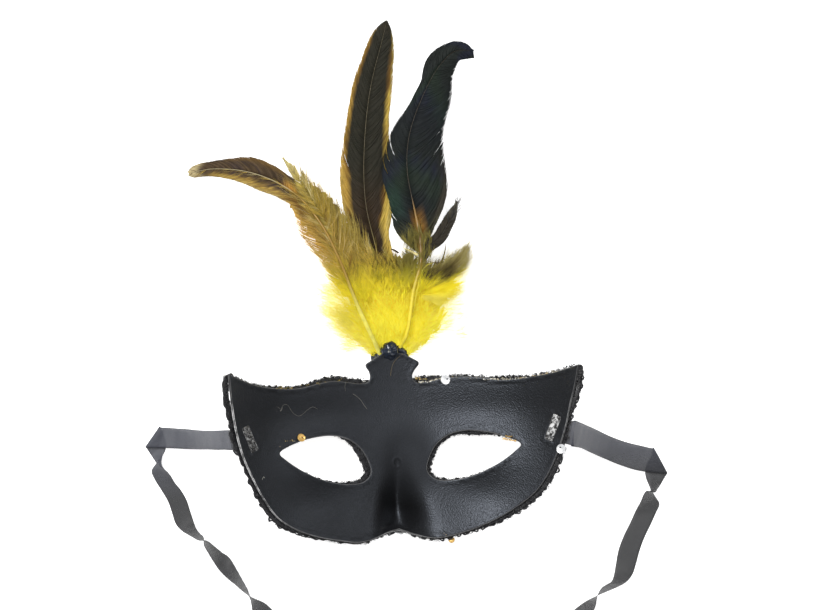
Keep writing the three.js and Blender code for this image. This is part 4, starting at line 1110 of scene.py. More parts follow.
def feather(name, shaft, vane, colour, seed, slot, replaces, quill_col, quill, spacing=0.3, width=0.27, start=None, ratio=(0.9, 1.1, 1.6), camber=0.6,
            ragged=0.04, lean=0.02, fray=0.03, splits=(), soft=(), lift=0.0, quill_lift=None, quill_from=0.0, k=6, clump=(2.4, 3.6), loose=None, web=None):
    g = np.random.default_rng(seed)
    line = Line(catmull(shaft, per=20))
    L = line.length
    heap = Heap()
    t0 = vane[0][0] if start is None else start
    for col_k, sgn in ((1, -1), (2, 1)):
        s0 = np.arange(t0 * L, 0.995 * L, spacing)
        s0 = s0 + g.normal(0, spacing * 0.3, len(s0))
        n = len(s0)
        marks = np.cumsum(g.uniform(clump[0], clump[1], int(L / clump[0]) + 2)) + t0 * L - 2
        idx = np.searchsorted(marks, s0)
        c1, c2 = g.normal(0, 1, idx.max() + 2), g.normal(0, 1, idx.max() + 2)
        free = step(s0 / L, *loose) if loose else np.zeros(n)  # 0 where the barbs are hooked together, 1 where they are loose
        rr = np.interp(s0 / L, [t0, (t0 + 1) / 2, 1], ratio) * (1 + lean * (1 + 5 * free) * c2[idx])
        f = meets(vane, s0, L, rr, col_k)
        Wd = along(vane, (s0 + f) / L, col_k) * (1 + ragged * (1 + 4 * free) * c1[idx] + g.normal(0, 0.012, n) * (1 + 4 * free))
        cut = np.ones(n)
        for side, a, b, keep in splits:  # a split: barbs that would end between a and b stop short
            if side == sgn:
                e = (s0 + f) / L
                cut = np.where((e > a) & (e < b), keep, cut)
        u = np.linspace(0, 1, k)[None] * cut[:, None]
        s = s0[:, None] + f[:, None] * u**1.3
        v = Wd[:, None] * (1 - (1 - u) ** 1.45)
        T, R, U = shaft_frame(line, s)
        q = np.clip(v / np.maximum(0.5, along(vane, s / L, col_k)), 0, 1.2)
        z = lift - camber * q**2 + (g.normal(0, 0.045, n) * (1 + 5 * free))[:, None] + 0.14 * np.sin(s * 0.8 + c1[idx][:, None]) * q
        P = line.at(s) + R * (sgn * v)[..., None] + U * z[..., None]
        fr = g.normal(0, fray, (n, 1, 3)) * (u**2.5)[..., None] * Wd[:, None, None] * (1 + 2.5 * free)[:, None, None]
        fr[..., 2] *= 0.3
        P = P + fr
        P[..., 2] = np.maximum(P[..., 2], 0.12)
        C = colour(s / L, q, sgn, g.uniform(0, 1, (n, 1)) * np.ones((1, k)), c1[idx][:, None] * np.ones((1, k)), P)
        w = width * np.array([1, 1, 0.97, 0.88, 0.62, 0.15])[None] * (1 - 0.45 * free)[:, None]
        co, faces, col = strands(P, w, np.full((n, k), 0.06), U, C, 4)
        heap.add(co, faces, col)
        for spec in soft:
            if spec.get("side", sgn) == sgn:
                fluffy(heap, line, g, sgn=sgn, **{a: b for a, b in spec.items() if a != "side"})
    if web:
        ta, tb, fl, fr_, drop = web
        n, half = int((tb - ta) * L / 1.6), 5
        ss = np.linspace(ta, tb, n) * L
        q = np.linspace(-1, 1, 2 * half + 1)[None] * np.ones((n, 1))
        taper = (step(ss / L, ta - 0.01, ta + 0.06) * (1 - step(ss / L, tb - 0.07, tb + 0.01)))[:, None]
        wide = np.where(q < 0, fl * along(vane, ss / L, 1)[:, None], fr_ * along(vane, ss / L, 2)[:, None]) * (0.2 + 0.8 * taper)
        S = ss[:, None] + np.abs(q) * wide * 1.2
        S = np.minimum(S, 0.985 * L)
        T, R, U = shaft_frame(line, S)
        v = q * wide * (1 + 0.10 * np.sin(ss * 2.7)[:, None] + 0.06 * np.sin(ss * 6.1 + 1)[:, None])
        mid = line.at(S) + R * v[..., None] + U * (lift - camber * q**2 - drop)[..., None]
        mid[..., 2] = np.maximum(mid[..., 2], 0.3)
        col = np.where((q < 0)[..., None], colour(S / L, np.abs(q) * 0.8, -1, 0.45 + 0.35 * np.sin(S * 5.0), 0.4 * np.sin(S * 1.7), mid),
                       colour(S / L, np.abs(q) * 0.8, 1, 0.45 + 0.35 * np.sin(S * 5.0), 0.4 * np.sin(S * 1.7), mid))
        w = 2 * half + 1
        o = n * w
        co = np.concatenate([mid.reshape(-1, 3) + [0, 0, 0.05], mid.reshape(-1, 3) - [0, 0, 0.05]])
        i, j = np.meshgrid(np.arange(n - 1), np.arange(w - 1), indexing="ij")
        quad = np.stack([i * w + j, i * w + j + 1, (i + 1) * w + j + 1, (i + 1) * w + j], -1).reshape(-1, 4)
        ring = np.concatenate([np.arange(w - 1), w - 1 + w * np.arange(n - 1), n * w - 1 - np.arange(w - 1), (n - 1 - np.arange(n - 1)) * w])
        nx = np.roll(ring, -1)
        heap.add(co, [quad, quad[:, ::-1] + o, np.stack([ring, ring + o, nx + o, nx], -1)], np.concatenate([col.reshape(-1, 3)] * 2))
    body = heap.mesh(name, FEATHER, slot=slot, replaces=replaces)
    s = np.linspace(L * quill_from, L * 0.985, 100)
    r = np.interp(s / L, quill[0], quill[1])
    path = line.at(s)
    path[:, 2] += 0.12 + (np.interp(s / L, *quill_lift) if quill_lift else 0.0)
    co, fc = tube(path, r, 7, 0.85)
    bar = Heap()
    bar.add(co, fc, quill_col(np.concatenate([np.repeat(s / L, 7), [s[0] / L, 1]])))
    bar.mesh(name + "_quill", QUILL, slot=slot)
    return body, line


GOLD_C, ORANGE, KHAKI, YEL = srgb(206, 166, 72), srgb(184, 138, 52), srgb(176, 156, 80), srgb(250, 236, 60)
BROWN, DARK, CREAM, OLIVE = srgb(84, 64, 40), srgb(44, 41, 31), srgb(226, 214, 170), srgb(92, 90, 42)


def yellowing(c, P, lo, hi, rnd=0.5):
    """The dye: everything turns yellow towards the foot of the spray."""
    return lerp(c, YEL, 1 - step(P[..., 1] + 5 * (rnd - 0.5), lo, hi))


def col_curved(t, q, sgn, rnd, cl, P):
    hair = rnd + 0.22 * cl
    gold = lerp(srgb(196, 156, 66), srgb(216, 182, 96), step(hair, 0.3, 0.9))
    gold = lerp(gold, srgb(158, 114, 48), step(hair, 0.75, 1.0) * 0.9)
    gold = lerp(gold, srgb(112, 80, 40), step(hair, 1.02, 1.2) * 0.9)
    gold = lerp(gold, srgb(236, 218, 160), 1 - step(hair, -0.14, 0.02))
    gold = lerp(gold, KHAKI, (sgn > 0) * 0.75 * (1 - step(t, 0.5, 0.6)))
    gold = yellowing(gold, P, 106, 128, rnd)
    dark = lerp(srgb(66, 52, 36), srgb(84, 68, 48), rnd)
    dark = lerp(dark, srgb(62, 52, 56), step(np.sin(t * 40 + cl), 0.5, 1) * 0.4)
    dark = lerp(dark, srgb(112, 86, 44), (sgn > 0) * step(q, 0.55, 0.95) * step(t, 0.66, 0.72) * (1 - step(t, 0.84, 0.9)) * 0.8)
    up = step(t + 0.01 * cl, 0.585, 0.655)
    low = (sgn < 0) * step(q + 0.06 * cl, 0.38, 0.62) * (1 - step(t, 0.9, 0.96))
    rim = lerp(srgb(176, 146, 70), srgb(214, 194, 124), step(q, 0.7, 1.0) * rnd)
    rim = lerp(rim, srgb(112, 86, 46), step(rnd, 0.5, 0.8) * 0.8)
    c = lerp(gold, lerp(dark, rim, low), up)
    c = lerp(c, lerp(srgb(160, 112, 48), srgb(206, 160, 76), rnd), (sgn > 0) * step(t, 0.565, 0.60) * (1 - step(t, 0.665, 0.70)) * (1 - step(q, 0.35, 0.75)))
    c = lerp(c, srgb(96, 66, 36), (sgn < 0) * step(t, 0.53, 0.57) * (1 - step(t, 0.62, 0.66)) * (1 - step(q, 0.5, 0.8)) * 0.8)
    c = lerp(c, lerp(srgb(190, 174, 130), srgb(120, 102, 72), step(rnd, 0.6, 0.9)), step(t + 0.02 * q, 0.955, 0.985))
    return c * (0.98 + 0.28 * rnd)[..., None]


def col_hackle(t, q, sgn, rnd, cl, P):
    hair = rnd + 0.25 * cl
    c = lerp(srgb(170, 150, 70), srgb(204, 186, 108), step(hair, 0.2, 0.9))
    c = lerp(c, srgb(136, 114, 60), step(hair, 0.7, 1.0) * 0.9)
    c = lerp(c, srgb(96, 78, 46), step(hair, 1.0, 1.2) * 0.9)
    patch = np.exp(-((t - 0.70) / 0.035) ** 2) + np.exp(-((t - 0.47) / 0.03) ** 2) * (sgn > 0)
    c = lerp(c, srgb(96, 80, 52), patch * step(rnd, 0.25, 0.7) * 0.8 * step(q, 0.15, 0.4))
    c = lerp(c, srgb(212, 200, 144), step(t, 0.85, 1.0) * 0.7)
    c = yellowing(c, P, 108, 132, rnd)
    return c * (0.90 + 0.3 * rnd)[..., None]


def col_tall(t, q, sgn, rnd, cl, P):
    c = lerp(srgb(38, 37, 28), srgb(42, 40, 30), rnd)
    c = lerp(c, srgb(60, 46, 33), (1 - step(t, 0.42, 0.6)) * 0.75)
    edge = 0.83 + 0.015 * (sgn < 0) - 0.20 * (sgn < 0) * step(t, 0.44, 0.48) * (1 - step(t, 0.56, 0.60)) + 0.012 * cl - 0.20 * (sgn > 0) * (1 - step(t, 0.42, 0.56)) - 0.06 * (sgn > 0) * (1 - step(t, 0.30, 0.38))
    c = lerp(c, srgb(112, 82, 34), step(q, edge - 0.08, edge))
    c = lerp(c, lerp(srgb(206, 176, 80), srgb(180, 144, 64), float(sgn < 0)), step(q, edge, edge + 0.07))
    c = lerp(c, srgb(222, 202, 120), step(q, edge + 0.10, 1.05) * rnd * (0.5 if sgn < 0 else 1.0))
    c = lerp(c, srgb(150, 124, 60), (1 - step(t, 0.245, 0.29)) * 0.9)
    c = lerp(c, srgb(46, 42, 31), step(t, 0.95, 0.985))
    return c * (0.96 + 0.08 * rnd)[..., None]


def col_black(t, q, sgn, rnd, cl, P):
    c = lerp(srgb(27, 32, 29), srgb(25, 29, 32), 0.5 + 0.5 * np.sin(t * 19 + 0.2 * cl))
    # the blue and green patches stand in for the feather's iridescent sheen: painted sheen
    c = lerp(c, srgb(26, 29, 52), step(np.sin(t * 31 + 2.0 + q * 1.5), 0.5, 1.0) * 0.5)
    c = lerp(c, srgb(32, 45, 32), step(np.sin(t * 23 + q * 2.2 + 1), 0.3, 1.0) * 0.6)
    c = lerp(c, srgb(34, 60, 50), (sgn < 0) * step(q, 0.2, 0.6) * step(t, 0.42, 0.46) * (1 - step(t, 0.5, 0.56)) * 0.55)
    c = lerp(c, srgb(58, 54, 46), step(q, 0.8, 1.05) * (sgn > 0) * (1 - step(t, 0.62, 0.68)))
    band = 0.20 - 0.12 * (sgn < 0)
    c = lerp(c, lerp(srgb(184, 134, 56), srgb(140, 98, 44), rnd), (1 - step(q, band - 0.05, band + 0.04)) * (1 - step(t, 0.41, 0.46)))
    c = lerp(c, lerp(srgb(62, 64, 40), srgb(96, 98, 60), step(rnd, 0.6, 0.9)), (1 - step(t, 0.37, 0.45)) * step(q, 0.2, 0.35) * 0.6)
    return c * (0.9 + 0.2 * rnd)[..., None]


def col_dark(t, q, sgn, rnd, cl, P):
    c = lerp(srgb(52, 47, 38), srgb(112, 108, 92), step(t, 0.88, 1.0))
    return c * (0.8 + 0.4 * rnd)[..., None]


def soft_gold(t, u, sgn, rnd, P):
    c = lerp(srgb(190, 160, 76), srgb(220, 192, 104), rnd)
    c = lerp(c, srgb(138, 100, 46), step(rnd, 0.72, 0.86) * 0.9)
    c = lerp(c, srgb(238, 222, 160), (1 - step(rnd, 0.05, 0.12)) * step(P[..., 1], 122, 132))
    return yellowing(c, P, 106, 130, rnd)


def soft_khaki(t, u, sgn, rnd, P):
    c = lerp(srgb(186, 158, 62), srgb(222, 196, 98), rnd)
    c = lerp(c, srgb(112, 90, 44), step(rnd, 0.7, 0.82) * 0.85)
    c = lerp(c, srgb(232, 220, 160), (1 - step(rnd, 0.04, 0.10)) * step(P[..., 1], 124, 134))
    return yellowing(c, P, 108, 130, rnd)


def soft_olive(t, u, sgn, rnd, P):
    c = lerp(srgb(98, 92, 50), srgb(160, 148, 76), rnd)
    return yellowing(c, P, 106, 127, rnd)


def soft_brown(t, u, sgn, rnd, P):
    c = lerp(srgb(74, 60, 34), srgb(136, 122, 56), step(u + 0.3 * rnd, 0.25, 1.0))
    c = lerp(c, srgb(190, 178, 86), step(rnd, 0.7, 0.9) * step(u, 0.3, 0.8))
    return yellowing(c, P, 107, 126, rnd)


def soft_grey(t, u, sgn, rnd, P):
    return lerp(srgb(44, 43, 40), srgb(118, 116, 110), u * (0.5 + 0.5 * rnd))


def quill_gold(t):
    return lerp(lerp(srgb(240, 230, 100), srgb(152, 118, 38), step(t, 0.14, 0.36)), srgb(196, 182, 140), step(t, 0.64, 0.72))


def quill_black(t):
    return lerp(lerp(srgb(244, 224, 66), srgb(134, 100, 36), step(t, 0.17, 0.33)), srgb(62, 52, 38), step(t, 0.45, 0.50))


def quill_cream(t):
    return lerp(srgb(244, 230, 84), lerp(srgb(176, 160, 104), srgb(112, 102, 78), step(t, 0.3, 0.45)), step(t, 0.17, 0.27))


def quill_khaki(t):
    return lerp(srgb(250, 238, 70), srgb(168, 150, 80), step(t, 0.3, 0.5))


def quill_dark(t):
    return lerp(srgb(190, 170, 60), srgb(44, 38, 28), step(t, 0.56, 0.64))


F_CURVED = ([[-5.3, 73.2, 3.2], [-7, 80, 4], [-9.6, 85.4, 7.4], [-13.2, 93.0, 10.2], [-17.2, 102.0, 10.9], [-20.6, 111.2, 10.8], [-25.8, 126, 9.9], [-33.7, 143.4, 7.4], [-44, 157.7, 4.4], [-55, 165.9, 2.4], [-69.6, 171.7, 1.1], [-86.8, 173.5, 0.8], [-99, 171.5, 0.7]],
            [[0.25, 0.6, 0.6], [0.3, 5, 3], [0.38, 8, 4], [0.5, 11, 6], [0.56, 10, 6], [0.62, 6.2, 5], [0.7, 6.5, 6.2], [0.76, 7.3, 7.5], [0.81, 6.2, 7.7], [0.865, 5, 5.7], [0.92, 3.8, 4.0], [0.965, 3.0, 3.5], [0.988, 2.4, 2.6], [1, 1.0, 1.0]])
F_HACKLE = ([[-3.4, 73.2, 3.2], [-4.9, 79.9, 3.9], [-6.2, 84.8, 6.4], [-8, 89.8, 9], [-10.7, 98.3, 11.9], [-13.6, 106.3, 12.6], [-17.2, 115.3, 12.6], [-28.2, 139.4, 10.8], [-40.2, 160.6, 7.8], [-52.2, 178.9, 4.6]],
            [[0.3, 0.6, 0.6], [0.39, 3, 6], [0.5, 5, 13], [0.61, 5.5, 13], [0.7, 5, 10.5], [0.81, 4, 5.6], [0.91, 2, 3.5], [1, 0.4, 0.4]])
F_TALL = ([[-1.6, 73.1, 3.2], [-2.4, 79.8, 3], [-2.4, 97, 2], [-3.3, 113.5, 1.3], [-6.6, 132.3, 0.9], [-10.7, 152.5, 0.8], [-11.4, 171.2, 0.8], [-9.4, 196, 0.8], [-6, 215.3, 0.8], [-0.1, 235.8, 0.7], [2.6, 245.9, 0.6]],
          [[0.2, 0.6, 0.6], [0.23, 4.2, 4], [0.28, 9.0, 7.2], [0.337, 10.8, 7.8], [0.378, 10.6, 8.2], [0.435, 10.9, 11], [0.46, 11.2, 13], [0.51, 11.8, 13], [0.57, 12.0, 13], [0.62, 11.2, 13], [0.7, 10, 11.8], [0.76, 9.4, 11.3], [0.82, 8.9, 10.8], [0.88, 7.6, 8.9], [0.92, 6.9, 7.4], [0.95, 6.0, 5.6], [0.975, 4.0, 3.6], [0.99, 2.0, 1.8], [1, 0.4, 0.4]])
F_BLACK = ([[1.5, 73.1, 3.2], [2.6, 79.7, 3.8], [3.7, 83.2, 5.4], [5.8, 86.9, 8.2], [7.3, 92.8, 10.2], [10.2, 109.6, 10.8], [14.5, 124.3, 10.2], [14.7, 136.8, 9.2], [12.7, 149.8, 7.6], [9.8, 171.4, 5.2], [12.1, 189.4, 3.4], [22.1, 212.8, 1.8], [29.1, 223.3, 1.2], [36.6, 229.6, 0.9], [46.4, 229.6, 0.7]],
           [[0.33, 0.6, 0.6], [0.35, 6, 1], [0.38, 10.5, 4], [0.41, 11.7, 8], [0.453, 12, 12.2], [0.51, 11.7, 18.6], [0.575, 12.9, 19.6], [0.625, 10.9, 19], [0.676, 9, 17.4], [0.74, 5.2, 15.6], [0.79, 4.2, 14.6], [0.83, 4.2, 13.2], [0.89, 7.3, 8.4], [0.94, 5.6, 5.6], [0.98, 3.4, 4.4], [1, 0.6, 3.6]])
F_DARK = ([[3.4, 73, 3.2], [4.6, 79.7, 3.9], [6, 83.6, 5.8], [8.2, 87.5, 8.4], [9.6, 93, 10.3], [11.5, 101, 11], [13, 110, 11.2], [14.3, 118, 11.5], [15.8, 125, 11.8], [18.3, 131.2, 11.6], [24.6, 136.4, 10.8], [31.9, 148.7, 9.2], [33.9, 154.2, 8.8]],
          [[0.6, 0.6, 0.6], [0.66, 2.4, 2.4], [0.74, 3.2, 3.1], [0.84, 3.5, 3.0], [0.93, 2.8, 2.3], [1, 0.5, 0.5]])

feather("tall_feather", *F_TALL, col_tall, 21, "feather_brown", ["feather_centre_tall"], quill_cream, ([0, 0.2, 0.4, 0.7, 1], [0.45, 0.26, 0.15, 0.11, 0.05]),
        ratio=(1.7, 1.9, 2.1), camber=0.25, ragged=0.006, lean=0.004, fray=0.005, splits=((-1, 0.632, 0.641, 0.62),), width=0.36,
        soft=(dict(count=260, t_range=(0.17, 0.27), length=10, colour=soft_khaki, thick=0.06),))
feather("curved_feather", *F_CURVED, col_curved, 22, "feather_brown", ["feather_left_curved"], quill_gold, ([0, 0.12, 0.3, 0.5, 0.66, 0.72, 1], [1.2, 1.1, 0.8, 0.68, 0.46, 0.2, 0.08]),
        ratio=(1.1, 1.5, 2.2), camber=0.5, ragged=0.008, lean=0.006, fray=0.012, spacing=0.2, width=0.24, clump=(0.9, 2.0), loose=(0.66, 0.54), web=(0.27, 0.66, 0.66, 0.7, 0.5),
        quill_lift=([0.1, 0.2, 0.5, 0.60, 0.68], [1.6, 2.4, 2.4, 2.0, 0.2]),
        soft=(dict(count=420, t_range=(0.2, 0.5), length=13, colour=soft_gold, thick=0.07, angle=(0.8, 0.25)), dict(side=-1, count=260, t_range=(0.42, 0.62), length=9, colour=soft_gold, angle=(0.65, 0.22), thick=0.06, lock=5),
              dict(side=-1, count=90, t_range=(0.62, 0.94), length=5, colour=soft_gold, angle=(0.5, 0.15), thick=0.05, lock=4)))
feather("gold_hackle", *F_HACKLE, col_hackle, 23, "feather_gold", ["feather_left_hackle"], quill_khaki, ([0, 0.4, 1], [0.22, 0.13, 0.05]),
        ratio=(1.7, 2.0, 2.6), camber=0.4, ragged=0.05, lean=0.03, fray=0.03, width=0.19, spacing=0.17, lift=-2.2, quill_lift=([0, 1], [-2.6, -2.6]), clump=(0.8, 1.9), loose=(0.98, 0.86), web=(0.33, 0.86, 0.75, 0.68, 0.5),
        soft=(dict(count=380, t_range=(0.3, 0.84), length=13, colour=soft_khaki, lift=-1.8, angle=(0.6, 0.25), thick=0.065, lock=6), dict(side=1, count=420, t_range=(0.35, 0.74), length=15, colour=soft_khaki, lift=-2.0, angle=(0.5, 0.2), thick=0.065, lock=6)))
feather("black_feather", *F_BLACK, col_black, 24, "feather_black", ["feather_right_black"], quill_black, ([0, 0.12, 0.22, 0.28, 0.34, 0.40, 0.44, 0.5, 1], [1.0, 0.9, 0.9, 1.1, 1.45, 1.35, 0.55, 0.16, 0.06]),
        ratio=(1.3, 1.6, 1.7), camber=0.7, ragged=0.004, lean=0.002, fray=0.006, width=0.38, splits=((-1, 0.655, 0.662, 0.55), (-1, 0.60, 0.604, 0.8), (-1, 0.618, 0.621, 0.85)), quill_lift=([0, 0.1, 0.3, 0.4, 0.5], [0.2, 0.9, 0.9, 0.5, 0.0]),
        soft=(dict(side=-1, count=70, t_range=(0.3, 0.4), length=12, colour=soft_olive, angle=(0.55, 0.25), thick=0.06), dict(side=1, count=200, t_range=(0.46, 0.60), length=20, colour=soft_grey, angle=(0.78, 0.06), thick=0.035, lift=-1.6, up=(-0.1, 0.2), curl=0.12, lock=3)))
feather("dark_curl", *F_DARK, col_dark, 25, "feather_black", ["feather_small_dark"], quill_dark, ([0, 0.5, 1], [0.1, 0.22, 0.1]),
        ratio=(1.8, 2.2, 2.8), camber=0.15, ragged=0.02, lean=0.02, fray=0.02, width=0.24, quill_from=0.56,
        soft=(dict(count=90, t_range=(0.86, 0.99), length=6.5, colour=soft_grey, angle=(0.4, 0.3), thick=0.05, lock=2),))


# ------------------------------------------------------------------ down
def hairs(heap, g, start, angle, length, colour, thick=0.065, bend=0.0, rise=0.0, lock=6, k=5, spread=0.35, flat=None):
    """Loose hairs in locks. start (m, 3) and angle, length, bend, rise are given for each lock; angle runs from the +y axis to +x."""
    m = len(start)
    n = m * lock
    idx = np.repeat(np.arange(m), lock)
    u = np.linspace(0, 1, k)
    a = np.asarray(angle)[idx] + g.normal(0, 0.06, n)
    LL = np.asarray(length)[idx] * g.uniform(0.7, 1.1, n)
    D = np.column_stack([np.sin(a), np.cos(a), (np.zeros(m) + rise)[idx] + g.normal(0, 0.03, n)])
    N = np.column_stack([D[:, 1], -D[:, 0], np.zeros(n)])
    b = (np.zeros(m) + bend)[idx] + g.normal(0, 0.04, n)
    P = (start[idx] + g.normal(0, spread, (n, 3)))[:, None] + D[:, None] * (LL[:, None] * u)[..., None] + N[:, None] * ((b * LL)[:, None] * u**2)[..., None]
    wig = 0.2 * np.sin(u[None] * g.uniform(4, 12, (n, 1)) + g.uniform(0, 6, (n, 1)))
    P = P + N[:, None] * (wig * u)[..., None]
    P[..., 2] = np.clip(P[..., 2], 0.2, 15.4)
    rnd = np.clip(g.uniform(0, 1, m)[idx] + g.normal(0, 0.1, n), 0, 1)[:, None] * np.ones((1, k))
    C = colour(0 * rnd, u[None] * np.ones((n, 1)), 1, rnd, P)
    w = np.broadcast_to(thick * np.array([0.7, 1, 0.95, 0.65, 0.1]), (n, k))
    co, faces, col = strands(P, w, np.full((n, k), flat) if flat else w, (0, 0, 1) if flat else (0.2, 0.1, 1), C, 4 if flat else 3)
    heap.add(co, faces, col)


def plume(heap, g, root, direction, reach, z1, barbs, colour, thick=0.08, barb=(6, 12), bend=0.0, stem=0.2, first=0.02):
    d = np.array([math.sin(direction), math.cos(direction), 0])
    side = np.array([d[1], -d[0], 0])

    def centre(s):
        c = root + np.outer(s * reach, d) + np.outer(bend * reach * s**2, side)
        c[:, 2] = root[2] + (z1 - root[2]) * np.sin(np.minimum(s * 1.5, 1) * math.pi / 2)
        return c

    s = np.sort(g.uniform(first, 1.0, barbs))
    base = centre(s) + g.normal(0, 0.3, (barbs, 3)) * [0.3, 0.3, 1]
    tan = unit(d[None] + 2 * bend * s[:, None] * side[None])
    lat = np.column_stack([tan[:, 1], -tan[:, 0], np.zeros(barbs)])
    sg = np.where(g.uniform(0, 1, barbs) < 0.5, -1.0, 1.0)
    k = 5
    u = np.linspace(0, 1, k)
    LL = g.uniform(barb[0], barb[1], barbs) * (0.7 + 0.5 * np.sin(np.pi * np.minimum(s * 0.9 + 0.1, 1))) * (0.35 + 0.65 * step(s, 0.0, 0.35))
    ang = g.normal(0.55, 0.22, barbs)
    D = tan * np.cos(ang)[:, None] + lat * (sg * np.sin(ang))[:, None] + np.array([0, 0, 1]) * g.normal(0.04, 0.22, (barbs, 1))
    P = base[:, None] + D[:, None] * (LL[:, None] * u)[..., None]
    P = P + lat[:, None] * (sg[:, None] * LL[:, None] * g.normal(0.02, 0.20, (barbs, 1)) * u**2)[..., None]
    wig = 0.32 * np.sin(u[None] * g.uniform(3, 11, (barbs, 1)) + g.uniform(0, 6, (barbs, 1)))
    P = P + tan[:, None] * (wig * u)[..., None] + lat[:, None] * (np.roll(wig, 1, 0) * u)[..., None]
    P[..., 2] = np.clip(P[..., 2], 0.2, 15.0)
    rnd = np.clip(g.uniform(0, 1) + g.normal(0, 0.22, (barbs, 1)), 0, 1) * np.ones((1, k))
    C = colour(P, u[None] * np.ones((barbs, 1)), rnd)
    w = thick * np.array([1, 1, 0.95, 0.65, 0.1])
    co, faces, col = strands(P, np.broadcast_to(w, (barbs, k)), np.broadcast_to(w, (barbs, k)), (0.2, 0.1, 1), C, 3)
    heap.add(co, faces, col)
    if stem:
        ss = np.linspace(0, 1, 12)
        pts = centre(ss)
        co, fc = tube(pts, np.linspace(stem, 0.05, 12), 5)
        heap.add(co, fc, np.repeat(colour(pts, ss, ss * 0), 5, 0).tolist() + [colour(pts[:1], ss[:1], ss[:1] * 0)[0].tolist(), colour(pts[-1:], ss[-1:], ss[:1] * 0)[0].tolist()])


def col_core(P, u, rnd):
    y = P[..., 1]
    c = lerp(srgb(252, 243, 84), srgb(243, 226, 52), step(rnd, 0.3, 0.95))
    c = lerp(c, srgb(226, 202, 56), step(y, 96, 108) * rnd * 0.8)
    up = step(y + 8 * (rnd - 0.5), 108, 130)
    return lerp(c, lerp(srgb(200, 182, 84), srgb(140, 122, 60), step(rnd, 0.45, 0.9)), up)


